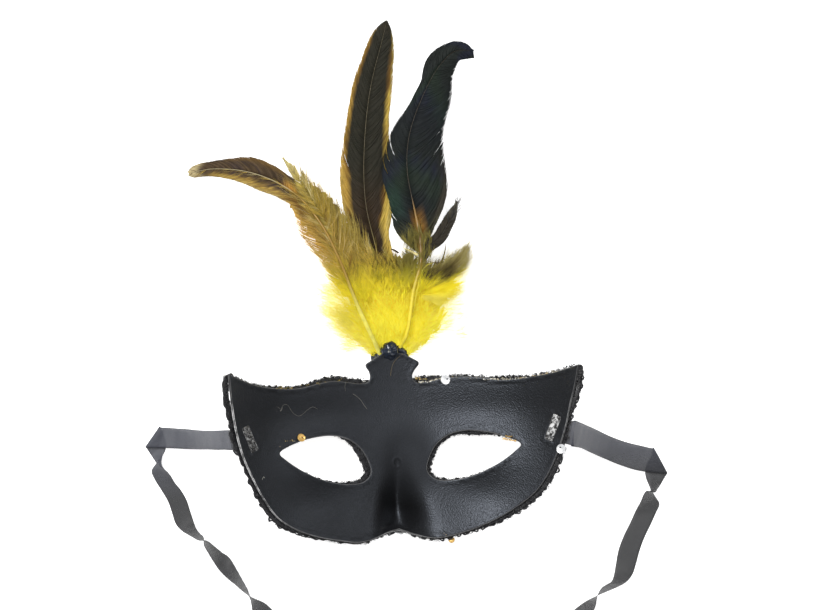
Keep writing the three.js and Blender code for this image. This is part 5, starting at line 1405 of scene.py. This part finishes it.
def make_down():
    g = np.random.default_rng(31)
    core = [Heap(), Heap(), Heap()]
    for i in range(98):
        th = math.radians(g.uniform(-29, 44))
        x0 = np.clip(-1.5 + 8.5 * math.sin(th) * 1.3 + g.normal(0, 2.4), -9.5, 7.5)
        root = np.array([x0, 80.6 - abs(x0) * 0.40, g.uniform(2.6, 5.0)])
        reach = (38 - 8 * abs(math.sin(th - 0.15))) * g.uniform(0.45, 1.0)
        plume(core[i % 3], g, root, th, reach, g.uniform(1.8, 9.2), 70, col_core, 0.092, (5, 10.5), g.normal(0, 0.07))
    for i in range(22):  # the low, longer ones behind
        th = math.radians(g.uniform(-27, 36))
        root = np.array([g.uniform(-8, 6), 81.0, g.uniform(1.5, 3.0)])
        plume(core[i % 3], g, root, th, g.uniform(33, 42) - 6 * abs(math.sin(th)), g.uniform(0.8, 3.0), 60, col_core, 0.1, (5, 10), g.normal(0, 0.06))
    # broad soft barbs under the fine ones, so that nothing shows through
    def col_pad(t, u, sgn, rnd, P):
        return col_core(P, u, rnd)

    m = 330
    th = np.radians(g.uniform(-27, 44, m))
    far = 34 * np.sqrt(g.uniform(0.0, 1.0, m)) * (1 - 0.22 * np.abs(np.sin(th - 0.15)))
    start = np.column_stack([-1.5 + 6 * np.sin(th) + far * np.sin(th), 79.5 + far * np.cos(th), g.uniform(1.2, 4.4, m)])
    hairs(core[0], g, start, th + g.normal(0, 0.16, m), g.uniform(8, 13, m), col_pad, 0.95, g.normal(0, 0.12, m), 0.0, lock=1, flat=0.10)
    m = 170
    py = g.uniform(292, 348, m)
    xl, xr = np.interp(py, [289, 310, 330, 352, 360], [349, 354, 360, 369, 376]), np.interp(py, [289, 310, 330, 352, 360], [448, 444, 436, 422, 414])
    e = g.uniform(0, 1, m)
    e = np.where(g.uniform(0, 1, m) < 0.7, np.where(e < 0.5, e * 0.5, 1 - (1 - e) * 0.5), e)
    px = xl + (xr - xl) * e
    start = np.array([unproject(a, b, z) for a, b, z in zip(px, py, g.uniform(1.2, 4.6, m))])
    hairs(core[1], g, start, np.arctan2(px - 398, 384 - py) * 1.1 + g.normal(0, 0.2, m), g.uniform(5, 7.5, m), col_pad, 0.6, g.normal(0, 0.15, m), 0.0, lock=1, flat=0.10)
    for i, h in enumerate(core):
        h.mesh("down_core_" + "abc"[i], DOWN, slot="yellow_down", replaces=["down_tuft"] if i == 0 else ())
    wisp = Heap()

    def col_wisp(t, u, sgn, rnd, P):
        c = lerp(srgb(252, 240, 76), srgb(248, 238, 116), rnd)
        return lerp(c, srgb(206, 196, 108), step(u + 0.2 * rnd, 0.35, 1.0) * 0.85)

    for lo, hi, x0, x1, m, ln_, b in ((-74, -26, -13.5, -7, 230, 16, 0.10), (-62, -30, -19, -11, 110, 13, 0.12), (38, 70, 5, 12, 200, 13, -0.08), (-100, -60, -10, -8, 60, 9, 0.1), (70, 100, 6, 9, 40, 7, -0.1)):
        th = np.radians(g.uniform(lo, hi, m))
        far = g.uniform(2, 15, m) if ln_ > 9 else g.uniform(0, 5, m)
        px0 = g.uniform(x0, x1, m)
        start = np.column_stack([px0 + far * np.sin(th) * 0.6, 80.0 + np.abs(px0) * 0.15 + far * 1.25 * np.cos(th * 0.6), g.uniform(1.5, 8.5, m)])
        hairs(wisp, g, start, th + g.normal(0, 0.12, m), ln_ * g.uniform(0.45, 1.15, m), col_wisp, 0.045, b + g.normal(0, 0.12, m), 0.0, lock=5, spread=0.7)
    for x0, x1, y0, y1, lo, hi, m, ln_ in ((338, 352, 286, 334, -98, -52, 150, 19), (346, 362, 326, 352, -110, -60, 80, 11), (440, 462, 292, 340, 48, 100, 110, 9)):
        px, py = g.uniform(x0, x1, m), g.uniform(y0, y1, m)
        start = np.array([unproject(a, b, z) for a, b, z in zip(px, py, g.uniform(1.5, 8, m))])
        hairs(wisp, g, start, np.radians(g.uniform(lo, hi, m)), ln_ * g.uniform(0.4, 1.1, m), col_wisp, 0.036, g.normal(0.1 if lo < 0 else -0.1, 0.14, m), 0.0, lock=4, spread=0.8)
    wisp.mesh("down_wisps", DOWN, slot="yellow_down")

    def at_px(px, py, z):
        return np.array([unproject(x, y, h) for x, y, h in zip(px, py, z)])

    # the small olive feather: a fan of hairs whose upper edge is dark and close
    fan = Heap()
    edge = np.array([[0.0, 30], [0.16, 38], [0.50, 39], [0.72, 47], [0.79, 60], [0.84, 76], [0.92, 72], [1.05, 64], [1.25, 55], [1.5, 48], [1.8, 38], [2.1, 28]])
    m = 330
    th = np.concatenate([g.uniform(0.12, 2.0, m), g.normal(0.84, 0.09, 60), g.uniform(0.1, 0.75, 60)])
    m = len(th)
    reach = np.interp(th, edge[:, 0], edge[:, 1])
    r0 = g.uniform(0.12, 0.72, m)
    r0[-120:] = g.uniform(0.35, 0.85, 120)
    z = g.uniform(7.0, 12.0, m)
    px, py = 417 + np.sin(th) * reach * r0, 295 - np.cos(th) * reach * r0
    start = at_px(px, py, z)
    length = reach / 2.0 * (1 - r0) * g.uniform(0.55, 1.16, m)
    ang = th + g.normal(0.0, 0.08, m) + 0.02

    def col_fan(t, u, sgn, rnd, P):
        dx, dy = P[..., 0] - 14.5, P[..., 1] - 107.8
        r, a = np.hypot(dx, dy), np.arctan2(dx, dy)
        c = lerp(srgb(126, 114, 62), srgb(172, 160, 88), rnd)
        c = lerp(c, srgb(70, 58, 38), (1 - step(a, 0.74, 0.96 + 0.2 * rnd)) * step(r, 9, 17) * (1 - 0.92 * step(r, 20, 30)) * (0.25 + 0.75 * step(rnd, 0.35, 0.6)))
        c = lerp(c, srgb(76, 66, 40), step(rnd, 0.78, 0.88) * 0.8 * (1 - step(a, 1.1, 1.4)))
        y = lerp(YEL, srgb(240, 228, 96), step(a, 1.3, 1.8))
        return lerp(c, y, np.maximum(1 - step(r + 8 * (rnd - 0.5), 6, 14), step(a + 0.2 * (rnd - 0.5), 0.98, 1.2)))

    hairs(fan, g, start, ang, length, col_fan, 0.055, g.normal(-0.12, 0.12, m), -0.02, lock=6, spread=0.28)
    m = 130
    th = g.uniform(0.45, 1.9, m)
    reach = np.interp(th, edge[:, 0], edge[:, 1])
    r0 = g.uniform(0.05, 0.55, m)
    start = at_px(417 + np.sin(th) * reach * r0, 295 - np.cos(th) * reach * r0, g.uniform(3.4, 6.4, m))
    hairs(fan, g, start, th + g.normal(0, 0.1, m), reach / 2.0 * (1 - r0) * g.uniform(0.5, 0.85, m), col_fan, 0.5, g.normal(-0.08, 0.1, m), -0.02, lock=1, flat=0.08)
    def col_streak(t, u, sgn, rnd, P):
        return lerp(srgb(64, 53, 34), srgb(176, 162, 92), step(u + 0.3 * (rnd - 0.5), 0.25, 0.8))

    m = 74
    th = g.uniform(0.22, 1.05, m)
    reach = np.interp(th, edge[:, 0], edge[:, 1])
    r0 = g.uniform(0.42, 0.7, m)
    start = at_px(417 + np.sin(th) * reach * r0, 295 - np.cos(th) * reach * r0, g.uniform(11.2, 12.6, m))
    hairs(fan, g, start, th + g.normal(0.02, 0.07, m), reach / 2.0 * (1 - r0) * g.uniform(0.8, 1.08, m), col_streak, 0.055, g.normal(-0.1, 0.08, m), -0.02, lock=3, spread=0.3)
    m = 110
    th = g.uniform(0.66, 1.15, m)
    reach = np.interp(th, edge[:, 0], edge[:, 1])
    start = at_px(417 + np.sin(th) * reach * 0.72, 295 - np.cos(th) * reach * 0.72, g.uniform(8, 11.5, m))
    hairs(fan, g, start, th + g.normal(0, 0.07, m), reach / 2.0 * g.uniform(0.22, 0.36, m), col_fan, 0.045, g.normal(-0.1, 0.1, m), 0.0, lock=3, spread=0.5)
    # separate pointed barbs that stand out past the end of the fan

    def col_tip(t, u, sgn, rnd, P):
        return lerp(srgb(112, 98, 56), srgb(190, 178, 116), step(u + 0.5 * (rnd - 0.5), 0.1, 0.8))

    m = 60
    th = g.uniform(0.70, 1.0, m)
    reach = np.interp(th, edge[:, 0], edge[:, 1])
    start = at_px(417 + np.sin(th) * reach * 0.62, 295 - np.cos(th) * reach * 0.62, g.uniform(11.0, 12.6, m))
    hairs(fan, g, start, th + g.normal(0.03, 0.1, m), reach / 2.0 * g.uniform(0.36, 0.53, m), col_tip, 0.085, g.normal(-0.16, 0.12, m), 0.0, lock=3, spread=0.24)
    # the fan takes the down's material and so its faint painted glow
    fan.mesh("olive_fan", DOWN, slot="feather_olive", replaces=["feather_small_olive"])
    spine = Heap()
    path = catmull(at_px([412, 418, 424, 432, 441, 452, 462, 470], [318, 286, 268, 263, 262.5, 260, 255.5, 250.5], [9, 11, 11.6, 11.6, 11.4, 11, 10.6, 10.2]), per=6)
    n = len(path)
    co, fc = tube(path, np.interp(np.linspace(0, 1, n), [0, 0.4, 1], [0.35, 0.34, 0.12]), 7)
    t = np.concatenate([np.repeat(np.linspace(0, 1, n), 7), [0, 1]])
    spine.add(co, fc, lerp(srgb(246, 232, 80), srgb(66, 52, 34), step(t, 0.3, 0.5)))
    spine.mesh("olive_fan_quill", QUILL, slot="feather_olive")

    # khaki and brown hairs that cover the feet of the feathers
    veil = Heap()
    for x0, x1, y0, y1, m, cfun, mean, spread, ln_, z0, z1 in (
            (336, 376, 250, 292, 230, soft_khaki, -0.42, 0.30, 11, 8, 12.4), (364, 400, 262, 292, 170, soft_khaki, 0.0, 0.45, 9, 7, 11),
            (372, 414, 258, 284, 120, soft_brown, 0.05, 0.5, 7, 8, 12), (398, 424, 258, 290, 110, soft_olive, 0.2, 0.4, 9, 10, 12.6),
            (404, 432, 236, 262, 60, soft_olive, 0.05, 0.35, 9, 10.8, 12.8)):
        px, py = g.uniform(x0, x1, m), g.uniform(y0, y1, m)
        hairs(veil, g, at_px(px, py, g.uniform(z0, z1, m)), g.normal(mean, spread, m), ln_ * g.uniform(0.5, 1.15, m), cfun, 0.062, g.normal(0, 0.16, m), 0.0, lock=6)
    for x0, x1, y0, y1, m, cfun, mean, spread in ((342, 380, 268, 298, 90, soft_khaki, -0.4, 0.2), (366, 404, 276, 302, 80, soft_khaki, 0.0, 0.3), (392, 424, 272, 302, 70, soft_olive, 0.15, 0.3), (392, 416, 261, 274, 44, soft_brown, 0.05, 0.5), (395, 415, 260, 280, 45, soft_olive, 0.0, 0.6), (356, 376, 273, 292, 26, soft_khaki, -0.2, 0.4)):
        px, py = g.uniform(x0, x1, m), g.uniform(y0, y1, m)
        hairs(veil, g, at_px(px, py, g.uniform(3.4, 7.0, m)), g.normal(mean, spread, m), g.uniform(3.2, 5 if m in (44, 45) else 7, m), cfun, 1.1 if m == 45 else 0.55, g.normal(0, 0.12, m), 0.0, lock=1, flat=0.08)
    # the short dark stub and the pale pointed quill between the feathers
    z = 11.0
    pts = np.array([unproject(x, y, z) for x, y in ((391.5, 249), (395, 250.5), (398.5, 252.8))])
    co, fc = tube(pts, [0.35, 0.5, 0.4], 7)
    veil.add(co, fc, np.broadcast_to(srgb(58, 44, 34), (len(co), 3)))
    pts = np.array([unproject(x, y, z + 1) for x, y in ((403.5, 248), (410, 251), (417.5, 254.8))])
    co, fc = tube(pts, [0.12, 0.5, 0.7], 7)
    veil.add(co, fc, np.broadcast_to(srgb(238, 224, 160), (len(co), 3)))
    # the soft barbs take the down's material and so its faint painted glow
    veil.mesh("soft_barbs", DOWN, slot="feather_olive")


make_down()

# ------------------------------------------------------------------ ribbons
def rooted(side, out_x, ya, yb, lift):
    rows = []
    for x in out_x:
        rows.append([*on_skin(side * x, ya(x), -3.16), *on_skin(side * x, yb(x), -3.16)])
    return rows + lift


RIBBON_L = rooted(-1, [70.5, 74.5, 78.5, 81.6], lambda x: 46.2 - (x - 70) * 0.02, lambda x: 36.6 - (x - 70) * 0.02, [
    [-86.4, 45.9, 36.6, -86.2, 36.4, 35.8], [-89.9, 45.7, 33.2, -89.7, 36.3, 32.6],
    [-93.8, 45.5, 26.8, -93.6, 36.3, 26.6], [-98.3, 45.4, 17.2, -98.6, 36, 17], [-102.9, 45.7, 8.9, -103.7, 35.9, 8.7], [-108.2, 46, 3.6, -110.4, 36.2, 3.4],
    [-112.5, 46.4, 1.9, -116.8, 36.6, 1.9], [-116.2, 46.8, 1.6, -123.5, 37, 1.6], [-116.6, 47.2, 0.95, -124, 37.3, 0.95],
    [-116, 46.2, 0.26, -123.3, 36.5, 0.26], [-114.7, 43.1, 0.26, -122.2, 34.7, 0.26], [-113.7, 39.1, 0.26, -120.8, 32.5, 0.5],
    [-114, 35.7, 0.4, -119.1, 29.8, 3], [-115.7, 32.8, 0.6, -117, 27.9, 7.6], [-118.8, 29, 0.7, -114.6, 26, 7.6], [-121.2, 25.4, 0.5, -112.1, 22.9, 3],
    [-119.4, 20.3, 0.26, -109.9, 19, 0.5], [-116.5, 15.3, 0.26, -107.3, 15.6, 0.26], [-113.5, 9.6, 0.26, -104.5, 10.4, 0.26], [-111.7, 3.7, 0.26, -102.8, 4.6, 0.6],
    [-110.1, -1.4, 0.3, -101.4, -0.3, 1.6], [-107.2, -4.8, 0.5, -100.3, -3.5, 5.4], [-103.1, -7.5, 0.5, -98.8, -5.7, 8.4], [-99, -9.9, 0.6, -97, -7.6, 9.4],
    [-95.2, -10.1, 0.7, -96.9, -11.5, 9.3], [-91.3, -13.2, 0.6, -94.6, -16.2, 8.2], [-87.7, -16.4, 0.5, -92.1, -20.7, 6.2], [-84.7, -18.5, 1.2, -89.4, -25.1, 2.4],
    [-81.7, -23.4, 5.4, -85.3, -29.6, 0.7], [-78.9, -28.9, 8.6, -81.6, -32.8, 0.6], [-76, -34.8, 9.4, -78, -36.2, 0.6],
    [-74.6, -41, 8.2, -73.4, -39.4, 0.7], [-73.4, -47.2, 5.2, -67.6, -42.2, 0.6], [-68.2, -54.4, 1.4, -62.2, -47, 0.5],
    [-59, -58.6, 0.26, -54.8, -49.6, 0.3], [-44, -61.6, 0.26, -43, -51.8, 0.26], [-26, -62.4, 0.26, -26.6, -52.6, 0.26], [-8, -61, 0.26, -8.8, -51.2, 0.26],
    [10, -60, 0.26, 9.8, -50.2, 0.26], [28, -61, 0.26, 29, -51.2, 0.26], [44, -63.6, 0.26, 46, -54, 0.26], [60, -66.4, 0.26, 56.4, -56.2, 0.26]])
RIBBON_R = rooted(1, [70.5, 74.5, 78.5, 81.4], lambda x: 46.4 - (x - 70) * 0.2, lambda x: 35.8 - (x - 70) * 0.34, [
    [84.6, 44.2, 37.0, 82.6, 31.6, 35.2], [87.8, 43, 33.6, 85.2, 31, 32.2],
    [91.6, 41.5, 27, 88.9, 30.1, 26.6], [99.3, 38.2, 16.5, 95.8, 27, 16.5], [108.5, 33.9, 8, 104.7, 23, 8], [117.2, 30.6, 4.2, 113.4, 19.2, 4.2],
    [124.8, 28.5, 2.2, 122.8, 16, 2.2], [131, 27, 1.6, 137.8, 13.8, 1.6], [131.4, 27.4, 0.95, 138.3, 14.1, 0.95],
    [131.3, 26.5, 0.26, 137.9, 13.2, 0.26], [130.4, 22.9, 0.26, 136.4, 11, 0.26], [127.6, 18.5, 0.26, 134.6, 8.3, 0.6],
    [126.9, 14.2, 0.4, 132.6, 6.7, 3.2], [128.1, 9.4, 0.6, 129.7, 5, 7.8], [131.3, 3, 0.7, 125.7, 6, 7.8], [133.7, -1.4, 0.5, 123.3, -0.1, 3],
    [132, -5.5, 0.26, 121.3, -4.5, 0.5], [128.9, -11.7, 0.26, 118.5, -10.2, 0.26], [125.6, -17.9, 0.26, 114.8, -17, 0.26], [122.8, -24.6, 0.26, 112, -23.8, 0.26],
    [120.7, -31.3, 0.26, 110.3, -30.8, 0.7], [118.8, -36.3, 0.3, 108.7, -36.2, 2.6], [115.6, -40, 0.45, 106.6, -38.9, 6], [110.7, -42.5, 0.5, 103.9, -39.9, 8.3],
    [105.6, -44.4, 0.6, 100.9, -41.5, 9.3], [99.6, -46.6, 0.6, 98.6, -45.2, 9.4], [94.2, -49, 0.6, 97.4, -51.4, 8], [88.4, -52.8, 0.5, 92.8, -58.4, 5.2],
    [82, -57.6, 0.3, 86.6, -65.6, 1.4], [73.4, -65.2, 0.26, 78, -74.2, 0.3], [61, -71.2, 0.26, 63.6, -80.8, 0.26], [45, -73.8, 0.26, 45.4, -83.8, 0.26],
    [26, -73, 0.26, 25.2, -83, 0.26], [7, -71.4, 0.26, 6.4, -81.4, 0.26], [-12, -71.6, 0.26, -11.2, -81.6, 0.26], [-30, -74, 0.26, -28, -84, 0.26],
    [-46, -77.4, 0.26, -41.6, -87, 0.26]])


def make_ribbon(rows, name, node, thick=0.14, per=6, across=8):
    rows = np.asarray(rows, float)
    A, B = catmull(rows[:, :3], per=per), catmull(rows[:, 3:], per=per)
    n = len(A)
    u = np.linspace(0, 1, across + 1)
    grid = A[:, None] * (1 - u)[None, :, None] + B[:, None] * u[None, :, None]
    dl = np.gradient(grid, axis=0)
    dw = (B - A)[:, None] * np.ones((1, across + 1, 1))
    N = unit(np.cross(dw, dl))
    mid = (A + B) / 2
    s = np.concatenate([[0], np.cumsum(np.linalg.norm(np.diff(mid, axis=0), axis=1))])
    wave = 0.10 * np.sin(s * 0.9)[:, None] * np.sin(u * np.pi)[None] + 0.06 * np.sin(s * 2.3 + 1)[:, None] * np.cos(u * np.pi)[None]
    lowz = np.minimum(1, np.maximum(0, grid[..., 2] - 0.3))
    grid = grid + N * (wave * lowz)[..., None]
    top, bot = grid + N * thick / 2, grid - N * thick / 2
    w = across + 1
    co = np.concatenate([top.reshape(-1, 3), bot.reshape(-1, 3)])
    co[:, 2] = np.maximum(co[:, 2], 0.04)
    i, j = np.meshgrid(np.arange(n - 1), np.arange(across), indexing="ij")
    q = np.stack([i * w + j, i * w + j + 1, (i + 1) * w + j + 1, (i + 1) * w + j], -1).reshape(-1, 4)
    o = n * w
    ring = np.concatenate([np.arange(across) , across + w * np.arange(n - 1), (n - 1) * w + across - np.arange(across), (n - 1 - np.arange(n - 1)) * w])
    nx = np.roll(ring, -1)
    wall = np.stack([nx, ring, ring + o, nx + o], -1)
    uv = np.stack([np.broadcast_to(u, (n, w)), np.broadcast_to((s / 10.0)[:, None], (n, w))], -1).reshape(-1, 2)
    ob = make_mesh(name, co, [q, q[:, ::-1] + o, wall], RIBBON, slot="ribbon", uv=np.concatenate([uv, uv]), replaces=[node])
    width = float(np.mean(np.linalg.norm(B - A, axis=1)))
    return s[-1], width


len_l = make_ribbon(RIBBON_L, "ribbon_left_cloth", "ribbon_left")
len_r = make_ribbon(RIBBON_R, "ribbon_right_cloth", "ribbon_right")
print("ribbons: length and mean width", len_l, len_r)


# ------------------------------------------------------------------ glue
def make_patch(side, material, node):
    c = np.array([[side * x, y] for x, y in SLOT], float)
    mid = c.mean(0)
    c = mid + (c - mid) * 1.10
    nu, nv = 12, 30
    u, v = np.meshgrid(np.linspace(0, 1, nu), np.linspace(0, 1, nv), indexing="ij")
    left = c[0][None, None] + (c[3] - c[0])[None, None] * v[..., None]
    right = c[1][None, None] + (c[2] - c[1])[None, None] * v[..., None]
    p = left + (right - left) * u[..., None]
    g = np.random.default_rng(40 + side)
    h = np.zeros_like(u)
    for _ in range(16):
        kx, ky, ph = g.normal(0, 9), g.normal(0, 22), g.uniform(0, 6)
        h += 0.07 * np.abs(np.sin(kx * u + ky * v + ph))
    dome = np.minimum(1, 6 * np.minimum(np.minimum(u, 1 - u) * 1.0, np.minimum(v, 1 - v) * 2.5)) ** 0.5
    top = on_skin(p[..., 0], p[..., 1], SHELL_T - 0.25 + (0.15 + h) * dome)
    bot = on_skin(p[..., 0], p[..., 1], np.full(u.shape, -1.4))
    o = nu * nv
    i, j = np.meshgrid(np.arange(nu - 1), np.arange(nv - 1), indexing="ij")
    q = np.stack([i * nv + j, (i + 1) * nv + j, (i + 1) * nv + j + 1, i * nv + j + 1], -1).reshape(-1, 4)
    ring = np.concatenate([np.arange(nu - 1) * nv, (nu - 1) * nv + np.arange(nv - 1), (nu - 1 - np.arange(nu - 1)) * nv + nv - 1, nv - 1 - np.arange(nv - 1)])
    nx = np.roll(ring, -1)
    wall = np.stack([nx, ring, ring + o, nx + o], -1)
    faces = [q, q[:, ::-1] + o, wall]
    if side > 0:
        faces = [f[:, ::-1] for f in faces]
    make_mesh("glue_" + ("right" if side > 0 else "left"), np.concatenate([top.reshape(-1, 3), bot.reshape(-1, 3)]), faces, material, slot="clear_glue", replaces=[node])


make_patch(1, GLUE_R, "glue_patch_right")
make_patch(-1, GLUE_L, "glue_patch_left")


def blob_sphere(c, r, nu=28, nv=16, seed=0, amp=0.06):
    g = np.random.default_rng(seed)
    u, v = np.meshgrid(np.arange(nu) * 2 * np.pi / nu, np.linspace(0, np.pi, nv)[1:-1])
    d = np.stack([np.sin(v) * np.cos(u), np.sin(v) * np.sin(u), np.cos(v)], -1).reshape(-1, 3)
    d = np.concatenate([d, [[0, 0, 1], [0, 0, -1]]])
    k = np.ones(len(d))
    for _ in range(7):
        k += amp * np.sin(d @ g.normal(0, 4, 3) + g.uniform(0, 6))
    co = d * k[:, None] * np.asarray(r) + np.asarray(c)
    rows = nv - 2
    j, i = np.meshgrid(np.arange(nu), np.arange(rows - 1))
    q = np.stack([i * nu + j, (i + 1) * nu + j, (i + 1) * nu + (j + 1) % nu, i * nu + (j + 1) % nu], -1).reshape(-1, 4)
    jj = np.arange(nu)
    t = np.concatenate([np.stack([np.full(nu, rows * nu), jj, (jj + 1) % nu], -1), np.stack([np.full(nu, rows * nu + 1), (rows - 1) * nu + (jj + 1) % nu, (rows - 1) * nu + jj], -1)])
    return co, [q, t]


glue = Heap()
glue.add(*blob_sphere((-1.9, 81.0, 7.6), (4.1, 4.0, 4.0), seed=3))
co, fc = blob_sphere((-1.2, 78.2, 3.1), (9.4, 6.2, 4.5), seed=4, nu=36, nv=20, amp=0.03)
co[:, 2] = np.maximum(co[:, 2], 0.03)
yy = co[:, 1] < 79.9
zt = front_z(co[:, 0], co[:, 1]) - 0.35
co[:, 2] = np.where(yy, np.minimum(co[:, 2], zt), co[:, 2])
glue.add(co, fc)
glue.mesh("glue_lump", GLUE, slot="dark_glue", replaces=["glue_blob"])


# ------------------------------------------------------------------ sequins
def sequin(name, x, y, h, r, turn, material, node, slot, tilt=(0.0, 0.0)):
    nu = 36
    a = np.arange(nu) * 2 * np.pi / nu
    hole = np.array([r * 0.38 * math.cos(turn), r * 0.38 * math.sin(turn)])
    outer = np.column_stack([r * np.cos(a), r * np.sin(a)])
    inner = hole + 0.17 * r * np.column_stack([np.cos(a), np.sin(a)])
    rings = []
    for k, z in ((0.0, 0.0), (0.25, 0.02), (0.6, 0.08), (0.9, 0.26), (1.0, 0.34)):
        p = inner + (outer - inner) * k
        rings.append(np.column_stack([p, np.full(nu, z)]))
    top = np.concatenate(rings)
    bot = top - [0, 0, 0.12]
    m = len(rings)
    i, j = np.meshgrid(np.arange(m - 1), np.arange(nu), indexing="ij")
    q = np.stack([i * nu + j, (i + 1) * nu + j, (i + 1) * nu + (j + 1) % nu, i * nu + (j + 1) % nu], -1).reshape(-1, 4)
    o = len(top)
    j = np.arange(nu)
    w0 = np.stack([j, (j + 1) % nu, (j + 1) % nu + o, j + o], -1)
    e = (m - 1) * nu
    w1 = np.stack([e + (j + 1) % nu, e + j, e + j + o, e + (j + 1) % nu + o], -1)
    co = np.concatenate([top, bot])
    n = up_normal(x, y)
    n = unit(n + np.array([tilt[0], tilt[1], 0]))
    ex = unit(np.cross([0, 1, 0], n))
    ey = np.cross(n, ex)
    if h < 0:
        co[:, 2] *= -1
    P = on_skin(x, y, h) + co @ np.stack([ex, ey, n])
    faces = [q, q[:, ::-1] + o, w0, w1]
    if h < 0:
        faces = [f[:, ::-1] for f in faces]
    return make_mesh(name, P, faces, material, slot=slot, replaces=[node] if node else ())


sequin("silver_disc_top", 25.4, 65.6, SHELL_T + 0.5, 2.35, 0.3, SILVER, "sequin_silver_top", "sequin_silver")
sequin("silver_disc_side", 78.4, 30.6, SHELL_T + 0.9, 2.35, 2.2, SILVER, "sequin_silver_side", "sequin_silver", (0.2, 0.0))
sequin("gold_disc_left", -48.9, 39.4, SHELL_T + 0.5, 2.0, 0.2, GOLD, "sequin_gold_left", "sequin_gold")
sequin("gold_disc_right", 54.6, 36.6, SHELL_T + 0.5, 1.8, 2.6, GOLD, "sequin_gold_right", "sequin_gold", (0.4, 2.6))
sequin("gold_disc_bottom", 24.0, -12.2, -3.0, 1.6, 1.2, GOLD, "sequin_gold_bottom", "sequin_gold")

# ------------------------------------------------------------------ loose fibres on the inside
fib = Heap()


def fibre(px_points, r=0.14, colour=(150, 146, 138), h=SHELL_T + 0.3):
    pts = np.array([seen_on_skin(x, y, h) for x, y in px_points])
    path = catmull(pts, per=6)
    co, fc = tube(path, r, 5)
    fib.add(co, fc, np.broadcast_to(srgb(*colour), (len(co), 3)))


fibre([(276.5, 412), (276, 407), (278.5, 407.5), (281, 409.5), (282.5, 406), (285, 404.5), (288, 405.5), (291.5, 411), (295, 414.5), (299, 416), (303, 414), (308, 409.5), (313, 407), (317.5, 409)], 0.11, (96, 94, 90))
fibre([(280, 411), (281.5, 410), (282, 407.5)], 0.17, (118, 116, 110))
fibre([(353, 394), (357, 396.5), (361, 400.5), (364, 405), (367, 409)], 0.13, (104, 102, 98))
fibre([(345.8, 382), (345, 386), (345.4, 391)], 0.1, (96, 94, 90))
fibre([(400, 356), (396.5, 359), (393.5, 363), (391.5, 369), (390.5, 376)], 0.15, (96, 86, 68))
fibre([(401.5, 355), (403, 354)], 0.15, (96, 86, 68))
fibre([(262, 479.5), (263.5, 477), (264.5, 478)], 0.18, (170, 168, 160))
fib.mesh("loose_fibres", FIBRE, slot="sequin_silver")

# ------------------------------------------------------------------ floor and light
bpy.ops.mesh.primitive_plane_add(size=6.0, location=(0, 0.08, -0.0002))
floor = bpy.context.object
floor.name = "floor"
fm, ft, fb = new_mat("floor_white", (0.9, 0.9, 0.9), 0.9)
fb.inputs["Specular IOR Level"].default_value = 0.0
fb.inputs["Emission Color"].default_value = (1, 1, 1, 1)
fb.inputs["Emission Strength"].default_value = 0.8
floor.data.materials.append(fm)

world = bpy.data.worlds.new("studio")
bpy.context.scene.world = world
world.use_nodes = True
world.node_tree.nodes["Background"].inputs["Color"].default_value = (1, 1, 1, 1)
world.node_tree.nodes["Background"].inputs["Strength"].default_value = 0.22


def area(name, loc, target, size, power, colour=(1, 1, 1)):
    d = bpy.data.lights.new(name, "AREA")
    d.shape = "DISK"
    d.size = size
    d.energy = power
    d.color = colour
    o = bpy.data.objects.new(name, d)
    o.location = loc
    o.rotation_euler = (Vector(target) - Vector(loc)).to_track_quat("-Z", "Y").to_euler()
    bpy.context.scene.collection.objects.link(o)
    return o


area("key", (-0.62, 0.72, 1.25), (0, 0.08, 0), 0.8, 22)
area("fill", (0.95, 0.5, 0.9), (0, 0.12, 0), 0.7, 3)
area("over", (0.17, 0.10, 1.35), (0, 0.10, 0), 0.35, 1.15)
area("low", (0.1, -1.0, 0.8), (0, 0.05, 0), 0.7, 2.5)

vs = bpy.context.scene.view_settings
vs.view_transform = "Standard"
vs.look = "None"
vs.exposure = 0.0
vs.gamma = 1.0

tris = {o.name: sum(len(q.vertices) - 2 for q in o.data.polygons) for o in bpy.context.scene.objects if o.type == "MESH"}
print("triangles", sum(tris.values()), sorted(tris.items(), key=lambda q: -q[1])[:10])
# the strands are closed; this turns the faces of each one outward
for name in (
    "black_feather", "black_feather_quill", "braid_threads", "curved_feather", "curved_feather_quill",
    "dark_curl", "dark_curl_quill", "down_core_a", "down_core_b", "down_core_c",
    "down_wisps", "eye_threads_left", "eye_threads_right", "gold_hackle", "gold_hackle_quill",
    "loose_fibres", "olive_fan", "olive_fan_quill", "soft_barbs", "tall_feather",
    "tall_feather_quill",
):
    ob = bpy.data.objects[name]
    bm = bmesh.new()
    bm.from_mesh(ob.data)
    bmesh.ops.recalc_face_normals(bm, faces=bm.faces[:])
    bm.to_mesh(ob.data)
    bm.free()
